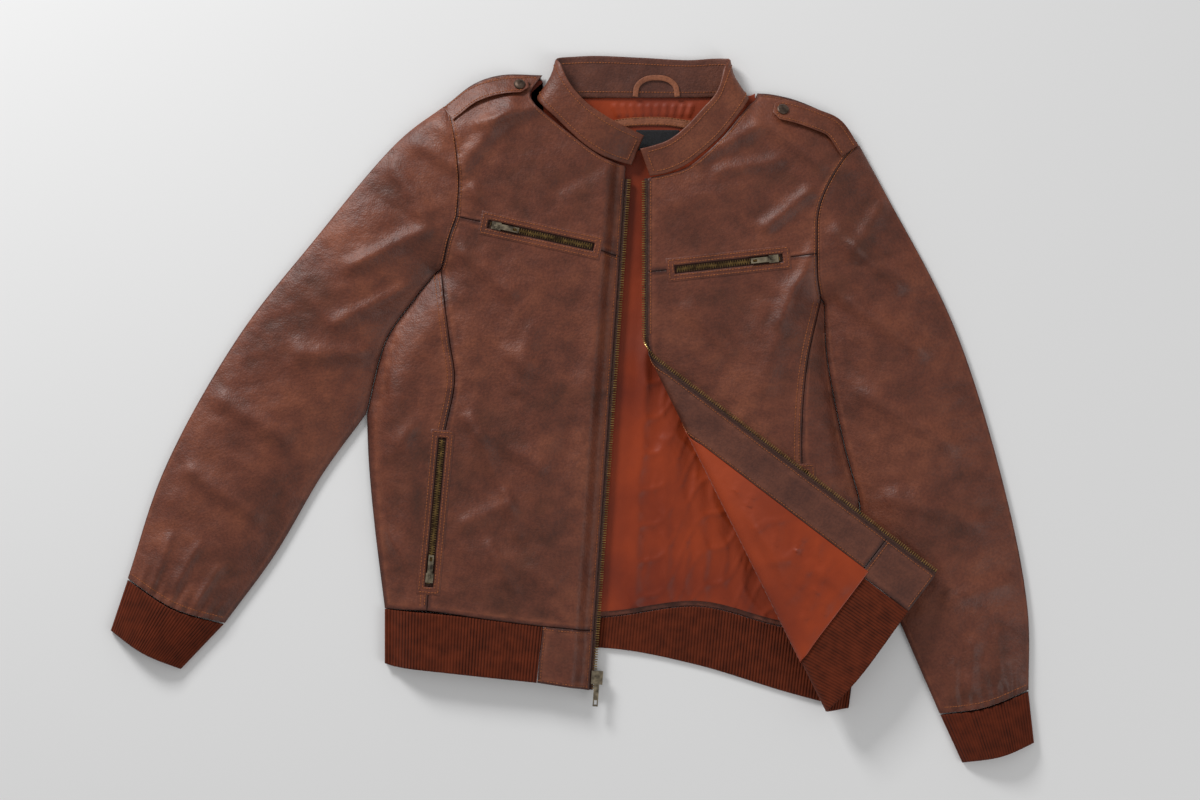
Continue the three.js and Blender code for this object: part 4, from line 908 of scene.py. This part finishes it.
def build_left_front(thread):
    dent = lambda xy: left_front(xy) - recess(xy, ("chest_left", "hand_left"))
    zip_down = beside_zip(zip_left, 243, 145)
    neck = chain(L_NECK_SIDE, L_COLLAR_SEAM, zip_down)
    yoke = patch(L_SHOULDER, L_ARMHOLE_UP, L_YOKE, neck)
    laid_sheet("left yoke", yoke, dent, FACE, SHELL, "front_yoke_left")
    outer = chain(L_ARMHOLE_LOW, L_PRINCESS)
    zip_side = beside_zip(zip_left, 145, -257)
    hem = Path([zip_left(-257, ZIP_REVEAL), (255, -257)])
    panel = patch(L_YOKE, outer, hem, zip_side)
    bent_sheet("left front panel", panel, FACE, SHELL, "front_panel_left", base=dent)
    side = patch(L_ARMHOLE_END, chain(L_ARMPIT, L_SIDE), L_HEM_SIDE, L_PRINCESS)
    laid_sheet("left side panel", side, dent, FACE, SHELL, "front_side_left", 3)
    facing = strip(zip_left, 238, -257, ZIP_REVEAL, FACING_WIDTH)
    bent_sheet("left facing", facing, FACING, INSIDE_LEATHER, "front_facing_left")

    inner = FACING_WIDTH - 1
    top = curve(zip_left(238, inner), (136, 258), (176, 308), (200, 318), (262, 300), (278, 272))
    far = curve((278, 272), (250, 238), (240, 168), (229, 110), (236, 50), (268, -31), (284, -91),
                (286, -245))
    low = curve(zip_left(-263, inner), (200, -263), (255, -262), (286, -245))
    near = beside_zip(zip_left, 238, -263, inner)
    plan = patch(top, far, low, near)
    bent_sheet("left front lining", plan, LINED, SATIN, "front_lining_left", 4, ("back lining sheet",),
               sewn=False, base=lambda xy: np.maximum(left_front(xy), 7))

    rib_top = curve(zip_left(-260, TAB_WIDTH), (233, -260), (282, -252), (300, -238))
    rib_low = curve(zip_left(-321, TAB_WIDTH), (217, -322), (263, -316), (290, -312))
    rib_start = beside_zip(zip_left, -260, -321, TAB_WIDTH)
    rib = patch(rib_top, curve((300, -238), (290, -312)), rib_low, rib_start)
    base = front_rib(left_front)
    rib_sheet("left hem rib", rib, lambda spots, h: turned(spots, h, base), "hem_rib_left",
              ("back hem rib",))
    tab = strip(zip_left, -257.3, -321, ZIP_REVEAL, TAB_WIDTH)
    bent_sheet("left hem tab", tab, (-TAB[1], -TAB[0]), INSIDE_LEATHER, "hem_tab_left")

    lift = lambda xy: dent(xy) + FACE[1] + THREAD_GAP
    thread.along([
        (L_PRINCESS, 0.01, 0.55, -SEAM_ROW), (L_PRINCESS, 0.01, 0.55, -SECOND_ROW),
        (L_ARMHOLE, 0.02, 0.98, -SEAM_ROW), (L_COLLAR_SEAM, 0.02, 0.97, SEAM_ROW),
        (L_SHOULDER, 0.05, 0.95, -SEAM_ROW),
    ], lift)
    thread.over(beside_zip(zip_left, 240, 80, ZIP_REVEAL + SEAM_ROW), lift)
    tracks = [(60, -318, ZIP_REVEAL + SEAM_ROW), (20, -255, FACING_WIDTH - SEAM_ROW)]
    for y0, y1, inward in tracks:
        line = np.array([zip_left(y, inward) for y in np.linspace(y0, y1, 160)])
        thread.sew(turned(line, np.full(len(line), FACING[0] - 0.25)))
    for y in (-261, -318):
        line = np.array([zip_left(y, i) for i in np.linspace(ZIP_REVEAL + 2, TAB_WIDTH - 2, 30)])
        thread.sew(turned(line, np.full(len(line), -2.5)))


# ---- Zips --------------------------------------------------------------------------------
TOOTH_PITCH = 2.5


def build_front_zip(spot, y_top, y_bottom, point_of, side):
    """One half of the front zip: a tape with a bead of teeth along its edge."""
    name, node = f"{side} front zip", f"zip_chain_{side}"
    plan = strip(spot, y_top, y_bottom, 2.2, 11)
    spots = grid(plan, 4)[0]
    points = [point_of(spots, np.full(spots.shape[:-1], h)) for h in (-0.4, 0.4)]
    tape = new_object(name + " tape", *closed(*points), TAPE)
    declared(tape)
    ys = np.arange(y_bottom + 2, y_top - 1, TOOTH_PITCH)
    inside = point_of(np.array([spot(y, 3.4) for y in ys]), np.zeros(len(ys)))
    outside = point_of(np.array([spot(y, 0.0) for y in ys]), np.zeros(len(ys)))
    size = (3.8, 1.5, 2.6)
    teeth = beads(name + " teeth", (inside + outside) / 2, outside - inside, size, TEETH, taper=0.8)
    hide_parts(node)


def welt_ring(name, half, stage):
    """Points and faces of the leather frame round a pocket's window."""
    inner, outer = (half + 1, WINDOW / 2), (half + FRAME_END, WINDOW / 2 + WELT)
    corners = np.array([(-1, -1), (1, -1), (1, 1), (-1, 1)])
    legs = [30, 4, 30, 4]
    loop = np.vstack([a + (b - a) * np.linspace(0, 1, n, endpoint=False)[:, None]
                      for a, b, n in zip(corners, np.roll(corners, -1, axis=0), legs)])
    rise = [(0, 1.9), (0, 2.3), (0.06, 2.65), (0.2, WELT_TOP)]
    profile = rise + [(1 - share, height) for share, height in reversed(rise)]
    rings = []
    for share, height in profile:
        reach = np.array(inner) * (1 - share) + np.array(outer) * share
        rings.append(lifted(pocket_spots(name, *(loop * reach).T), stage + height))
    points = np.vstack(rings)
    at = np.arange(len(points)).reshape(len(rings), -1)
    after, above = np.roll(at, -1, axis=1), np.roll(at, -1, axis=0)
    faces = quads(at, after, np.roll(above, -1, axis=1), above).tolist()
    return points, facing_out(points, faces)


def build_pocket(name, thread):
    """A pocket's welt, tape and closed chain."""
    length = POCKETS[name]["length"]
    half = length / 2
    stage = CHEST_RISE

    def flat(x0, x1, y0, y1, low, high, step=3):
        u, v = np.meshgrid(spaced(x1 - x0, step), spaced(y1 - y0, step))
        spot = pocket_spots(name, x0 + u * (x1 - x0), y0 + v * (y1 - y0))
        return [lifted(spot, stage + h) for h in (low, high)]

    welt = new_object(f"{name} welt frame", *welt_ring(name, half, stage), SHELL)
    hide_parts(f"{name}_welt")
    points = flat(-half, half, -8, 8, -0.3, 0.35)
    tape = new_object(f"{name} tape", *closed(*points), TAPE)
    declared(tape)
    xs = np.arange(-half + 2, half - 2, 1.25)
    stagger = np.where(np.arange(len(xs)) % 2, 0.9, -0.9)
    points = lifted(pocket_spots(name, xs, stagger), stage + 1.15)
    across = np.tile([*pocket_axes(name)[2], 0.0], (len(xs), 1))
    teeth = beads(f"{name} teeth", points, across, (4.0, 1.0, 1.6), TEETH, taper=0.8)
    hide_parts(f"{name}_zip_chain")
    for out_x, out_y in ((half + FRAME_END - 2.5, WINDOW / 2 + WELT - 2.5), (half + 2.5, WINDOW / 2 + 1.8)):
        corners = [(-out_x, -out_y), (out_x, -out_y), (out_x, out_y), (-out_x, out_y), (-out_x, -out_y)]
        for start, end in zip(corners, corners[1:]):
            t = np.linspace(0, 1, 12)
            xy = pocket_spots(name, *(a + (b - a) * t for a, b in zip(start, end)))
            thread.sew(lifted(xy, stage + WELT_TOP + THREAD_GAP))


# ---- Collar and neck ---------------------------------------------------------------------
FRONT_TOP = CHEST_RISE + FACE[1]
FLAT = 3.2
COLLAR_SIZE = (560.0, 34.0)  # about its length and height, for spacing its points
COLLAR = [  # spots of its seam and of its free edge, from the right front round to the left
    [(62, 257, 9.4), (75, 288, 12)], [(49.5, 260.5, 10.5), (67, 292, 14)], [(32, 266.5, 17), (49.5, 300, 20)],
    [(14, 277.5, FRONT_TOP), (32, 310, 23)], [(-2, 291.5, FRONT_TOP), (14, 323, 23)],
    [(-19, 308, FRONT_TOP), (-2.5, 342, 22)], [(-32, 320, 17), (-12, 362, 17)],
    [(-36, 327, 9.5), (-16, 368, 9.5)], [(-30, 329, 5.5), (-12, 370, 5.5)],
    [(-14, 328.5, FLAT), (0, 371, FLAT)], [(25, 328, FLAT), (24, 372, FLAT)],
    [(75, 328, FLAT), (73, 370, FLAT)],
    [(125, 328, FLAT), (123, 367.5, FLAT)], [(166, 328.5, FLAT), (146, 369, FLAT)],
    [(178, 329, 5.5), (160, 369, 5.5)], [(184, 327, 9.5), (164, 368, 9.5)], [(181, 320, 17), (160, 361, 17)],
    [(170, 305, FRONT_TOP), (151, 333, 22)], [(153, 284.5, FRONT_TOP), (136, 315.5, 23)],
    [(136, 269.5, FRONT_TOP), (119, 297, 23)], [(118, 256.5, FRONT_TOP), (101, 283, 23)],
    [(99, 248.5, FRONT_TOP), (85, 277, 23)], [(81, 245, FRONT_TOP), (71, 273.5, 23)],
]


def collar_spot(u, v, offset):
    seam = Path(spline([s[0] for s in COLLAR]))
    edge = Path(spline([s[1] for s in COLLAR]))
    v = np.asarray(v)[..., None]
    middle = lambda t: seam(t) * (1 - v) + edge(t) * v
    along = middle(np.minimum(u + 0.004, 1)) - middle(np.maximum(u - 0.004, 0))
    normal = np.cross(edge(u) - seam(u), along)
    normal /= np.linalg.norm(normal, axis=-1)[..., None]
    life = 0.35 * np.sin(u * 61) * np.sin(v[..., 0] * 3.1)
    return middle(u) + normal * (np.asarray(offset) + life)[..., None]


def build_collar(thread):
    width, length = COLLAR_SIZE
    u, v = np.meshgrid(spaced(width, 4), spaced(length, 3))
    edge = edge_distance(u, v, width, length)
    for name, layers, material, node in (
        ("collar outer leaf", (0.05, 1.7), SHELL_DARK, "collar_outer"),
        ("collar inner leaf", (-1.7, -0.05), INSIDE_LEATHER, "collar_inner"),
    ):
        low, high = rim(edge, layers, 0.7)
        points = [collar_spot(u, v, low), collar_spot(u, v, high)]
        soft_sheet(name, points, material, node, length, ("back leather",))
    ends, rows = (0.012, 0.988), (0.14, 0.84)
    over_leaf = 1.85
    t = np.linspace(*ends, 260)
    for row in rows:
        for offset in (over_leaf, -over_leaf):
            thread.sew(collar_spot(t, np.full(len(t), row), np.full(len(t), offset)))
    t = np.linspace(*rows, 14)
    for end in ends:
        thread.sew(collar_spot(np.full(len(t), end), t, np.full(len(t), over_leaf)))


def strap_grid(path, width, low, high, step=2.0, chamfer=0.0):
    """The two faces of a flat strap along a plan path; its far end may be chamfered."""
    line = Path(spline(path))
    u, v = np.meshgrid(spaced(line.length, step), spaced(width, step))
    ahead = line(np.minimum(u + 0.005, 1)) - line(np.maximum(u - 0.005, 0))
    ahead /= np.linalg.norm(ahead, axis=-1)[..., None]
    normal = np.stack([-ahead[..., 1], ahead[..., 0]], -1)
    narrow = 1 - 0.55 * np.clip((u * line.length - line.length + chamfer) / max(chamfer, 1e-6), 0, 1)
    spots = line(u) + normal * ((0.5 - v) * width * narrow)[..., None]
    edge = edge_distance(u, v, line.length, width)
    pinch = 0.35 * np.clip(1 - edge / 1.2, 0, 1) ** 2
    return [lifted(spots, low(spots, u) + pinch), lifted(spots, high(spots, u) - pinch)]


STRIP_PATH = [(37, 299), (60, 302.5), (80, 303.5), (100, 303), (124, 299.5)]
LABEL_PATH = [(67, 283.8), (89.5, 283.8), (112, 283.8)]
LOOP_PATH = [(66, 329), (68, 340), (76, 347), (88, 349), (100, 347), (108, 340), (110, 329)]


def build_neck(thread):
    points = strap_grid(STRIP_PATH, 9, level(2.7), level(4.1))
    soft_sheet("neck strip", points, TAN, "neck_facing", 9, ("back lining sheet",))
    for inset in (0.16, 0.84):
        row = points[1][int(inset * (points[1].shape[0] - 1))] + [0, 0, 0.15]
        thread.sew(row[3:-3])
    points = strap_grid(LABEL_PATH, 21, level(2.7), level(3.5))
    soft_sheet("blank label", points, LABEL, "neck_label", 21, ("back lining sheet",))
    points = strap_grid(LOOP_PATH, 5.6, level(5.3), level(6.9), 1.5)
    soft_sheet("hanger strap", points, TAN, "hanger_loop", 5.6, ("collar inner leaf",))


EPAULETTES = {
    "right": ([(-130, 311), (-103, 331), (-75, 339.5), (-46, 342)], 17, right_front),
    "left": ([(291, 272), (274, 296), (256, 304.5), (234, 312), (211, 317)], 22, left_front),
}


def build_epaulette(side):
    path, width, front = EPAULETTES[side]
    body = f"epaulette_{side}_body"
    underside = lambda xy, u: front(xy) + FACE[1] + 0.5 + 2.3 * smooth(2.5 * u)
    points = strap_grid(path, width, underside, lambda xy, u: underside(xy, u) + 2.2, 2.0, 8)
    name = f"{side} epaulette"
    soft_sheet(name, points, SHELL_DARK, f"epaulette_{side}", width, (f"{side} yoke",), body)
    thread = Thread()
    top = points[1] + [0, 0, 0.2]
    first, last = int(0.2 * len(top)), int(0.8 * len(top))
    for row in (first, last - 1):
        thread.sew(top[row, 3:-4])
    thread.sew(top[first:last, -5])
    thread.finish(f"{side} epaulette stitches", THREAD, body)


# ---- Sleeves -----------------------------------------------------------------------------
SLEEVE_FOLDS = {
    "right": [
        ((-150, 190), (-235, 150), 9, 2.6), ((-170, 130), (-250, 90), 8, 2.0),
        ((-205, 60), (-290, 60), 10, 2.2), ((-300, -30), (-380, 20), 10, 1.8),
        ((-330, -110), (-405, -60), 9, 1.8), ((-190, 260), (-150, 200), 10, 2.0),
        ((-390, -140), (-420, -190), 6, 1.6), ((-420, -130), (-440, -185), 6, 1.5),
        ((-370, -165), (-395, -205), 5, 1.3),
    ],
    "left": [
        ((275, 190), (345, 130), 9, 2.6), ((280, 120), (370, 60), 9, 2.2),
        ((300, 20), (400, -40), 10, 2.0), ((330, -90), (430, -120), 10, 1.8),
        ((390, -200), (460, -180), 9, 1.8), ((330, 220), (290, 160), 9, 2.2),
        ((420, -240), (415, -300), 6, 1.6), ((445, -230), (450, -285), 6, 1.5),
        ((400, -260), (400, -310), 5, 1.3),
    ],
}


SLEEVE_GIRTH = 185.0  # about its width laid flat, for spacing its points
UNDERARM = 0.25  # share of its length that is sewn to the body
ROUNDNESS = 0.7  # power of the sine that it arches by


def build_sleeve(side, front, thread):
    parts = SLEEVES[side]
    outer, armhole, inner = parts["outer"], parts["armhole"], parts["inner"]

    def body_side(v):
        high = armhole(np.clip(v / UNDERARM, 0, 1))
        low = inner(np.clip((v - UNDERARM) / (1 - UNDERARM), 0, 1))
        return np.where((v < UNDERARM)[..., None], high, low)

    def plan(u, v):
        ruled = outer(v) * (1 - u[..., None]) + body_side(v) * u[..., None]
        end = outer(1.0) * (1 - u[..., None]) + inner(1.0) * u[..., None]
        return ruled + (parts["wrist"](u) - end) * smooth((v - 0.8) / 0.2)[..., None]

    def arch(u, v):
        at = body_side(v)
        past = smooth((v - UNDERARM) / 0.2)
        sewn = (front(at) - EDGE_HEIGHT) * (1 - past)
        width = np.linalg.norm(outer(v) - at, axis=-1)
        tall = (CHEST_RISE - EDGE_HEIGHT) * (1 - v) + CUFF_RISE * v
        rise = np.maximum(np.maximum(sewn, np.minimum(tall, 0.3 * width)), 0.1)
        turn = math.pi - np.arcsin(np.clip(sewn / rise, 0, 1) ** (1 / ROUNDNESS))
        return EDGE_HEIGHT + rise * np.maximum(np.sin(turn * u), 0) ** ROUNDNESS

    def shape(u, v, h):
        spots = plan(u, v)
        life = 2.2 * folded(spots, SLEEVE_FOLDS[side])
        life = life + 0.9 * swell(spots, 26, 5.0) + 0.4 * swell(spots, 9, 2.0)
        gathers = 1.1 * np.sin(u * 58) * smooth((v - 0.93) / 0.07)
        hold = np.minimum(smooth(u * 6), smooth((1 - u) * 6))
        return lifted(spots, arch(u, v) + h + (life + gathers) * hold)

    width, length = SLEEVE_GIRTH, outer.length
    u, v = np.meshgrid(spaced(width, 3.5), spaced(length, 3.5))
    u, v = 0.002 + 0.994 * u, 0.006 + 0.992 * v
    flat = plan(u, v)
    points = [shape(u, v, h) for h in rim(edge_distance(u, v, width, length), FACE)]
    across = np.minimum(u, 1 - u) * width
    seam = np.minimum(across + 2, np.where(u > 0.5, across, 99))
    tone = seam_shade_and_wear(flat, np.minimum(seam, (1 - v) * length))
    name = f"{side} sleeve top"
    soft_sheet(name, points, SHELL, f"sleeve_top_{side}", length, ("table",), tone=tone)
    points = [lifted(flat, h) for h in (0.0, LEATHER)]
    name = f"{side} sleeve under"
    soft_sheet(name, points, SHELL, f"sleeve_under_{side}", length, ("table",))

    u, v = np.meshgrid(np.linspace(0.07, 0.93, 20), np.linspace(0.1, 0.985, 60))
    ceiling = shape(u, v, np.full(u.shape, -3.0))
    ceiling[..., 2] = np.maximum(ceiling[..., 2], 3.2)
    points = [ceiling - [0, 0, LINING], ceiling]
    soft_sheet(f"{side} sleeve lining", points, SATIN, f"sleeve_lining_{side}", length * 0.88, (name,))

    build_cuff(side, parts)
    still = np.ones(60)
    by_armhole, by_cuff = np.linspace(0.01, 0.24, 60), np.linspace(0.03, 0.96, 60)
    for u, v in ((0.985 * still, by_armhole), (by_cuff, 0.988 * still)):
        thread.sew(shape(u, v, FACE[1] + 0.1))


def build_cuff(side, parts):
    """A flattened knitted tube, ribbed all round."""
    plan = patch(parts["wrist"], parts["cuff_inner"], parts["mouth"], parts["cuff_outer"])
    width, length = plan.size
    half = int(width / RIB_PITCH) * RIB_COLUMNS
    k = np.arange(2 * half)
    upper = k >= half
    u_of = np.where(upper, 2 - k / half, k / half)
    u, v = np.meshgrid(u_of, spaced(length, 4))
    top = 4 + (CUFF_RISE - 1) * np.maximum(np.sin(math.pi * u), 0) ** ROUNDNESS
    rib = ribbing(u, width)
    edge = np.minimum(v * length, (1 - v) * length)
    pinch = np.clip(1 - edge / 1.5, 0, 1) ** 2
    down = np.clip(0.01 + 0.98 * v, 0, 1)
    outside = plan(np.clip(0.004 + 0.992 * u, 0, 1), down)
    shell = lifted(outside, np.where(upper, top + rib - pinch, 0.2 - 0.4 * rib + pinch))
    inside = plan(np.clip(0.03 + 0.94 * u, 0, 1), down)
    bore = lifted(inside, np.where(upper, np.maximum(top - 2.6, 3.4), 2.6))
    points, at = joined(shell, bore)
    after = np.roll(at, -1, axis=2)
    faces = np.concatenate([
        quads(at[0, :-1], after[0, :-1], after[0, 1:], at[0, 1:]),
        quads(at[1, :-1], at[1, 1:], after[1, 1:], after[1, :-1]),
        quads(at[0, 0], at[1, 0], after[1, 0], after[0, 0]),
        quads(at[0, -1], after[0, -1], after[1, -1], at[1, -1]),
    ]).tolist()
    faces = facing_out(points, faces)
    # its tone is painted shade between the ribs and painted highlight on them
    obj = new_object(f"{side} cuff rib", points, faces, KNIT_DARK, sharp=80, tone=rib_shade_and_highlight(rib))
    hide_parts(f"cuff_{side}")
    declared(obj)


# ---- Everything --------------------------------------------------------------------------
def finish_nodes():
    """The carried-over fittings get their own metal."""
    for name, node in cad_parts.items():
        node.data.materials.clear()
        node.data.materials.append(SNAP_METAL if name.startswith("snap") else DARK_METAL)
        node.data.shade_smooth()
        node.data.set_sharp_from_angle(angle=math.radians(35))


def build_stage():
    bpy.ops.mesh.primitive_plane_add(size=12, location=(0, 0, -0.0006))
    floor = bpy.context.object
    floor.name = "floor"
    s = Shader("floor", 0.95, specular=0.0)
    paper = s.ramp(s.noise(2), [(0.0, [0.8, 0.8, 0.8, 1]), (1.0, [0.81, 0.81, 0.81, 1])])
    floor.data.materials.append(s.done(paper))

    world = bpy.data.worlds.new("studio")
    bpy.context.scene.world = world
    world.use_nodes = True
    sky = world.node_tree.nodes["Background"].inputs
    sky["Color"].default_value = (1, 1, 1, 1)
    sky["Strength"].default_value = 0.42

    def lamp(name, spot, size, power):
        data = bpy.data.lights.new(name, "AREA")
        data.shape = "RECTANGLE"
        data.size, data.size_y = size
        data.energy = power
        light = bpy.data.objects.new(name, data)
        light.location = spot
        light.rotation_euler = (-Vector(spot)).to_track_quat("-Z", "Y").to_euler()
        bpy.context.scene.collection.objects.link(light)

    lamp("key", (-1.6, 2.3, 1.3), (0.9, 0.7), 78)
    lamp("fill", (2.0, -1.2, 1.6), (1.4, 1.4), 14)


CAMERA_HEIGHT = 4.6
VIEW_WIDTH = 1.26
VIEW_CENTRE = (0.029, 0.0098)


def build_camera():
    data = bpy.data.cameras.new("camera")
    data.sensor_width = 36
    data.lens = 36 * CAMERA_HEIGHT / VIEW_WIDTH
    camera = bpy.data.objects.new("camera", data)
    camera.location = (*VIEW_CENTRE, CAMERA_HEIGHT)
    bpy.context.scene.collection.objects.link(camera)
    bpy.context.scene.camera = camera
    bpy.context.scene.view_settings.view_transform = "Standard"


threads = Thread()
build_back()
build_right_front(threads)
build_left_front(threads)
build_front_zip(zip_right, 243, -293, over(level(ZIP_EDGE_HEIGHT)), "right")
build_front_zip(zip_left, 243, -320, turned, "left")
for pocket_name in POCKETS:
    build_pocket(pocket_name, threads)
build_collar(threads)
build_neck(threads)
build_sleeve("right", right_front, threads)
build_sleeve("left", left_front, threads)
threads.finish("topstitching", THREAD)
for epaulette_side in EPAULETTES:
    build_epaulette(epaulette_side)
finish_nodes()
build_stage()
build_camera()
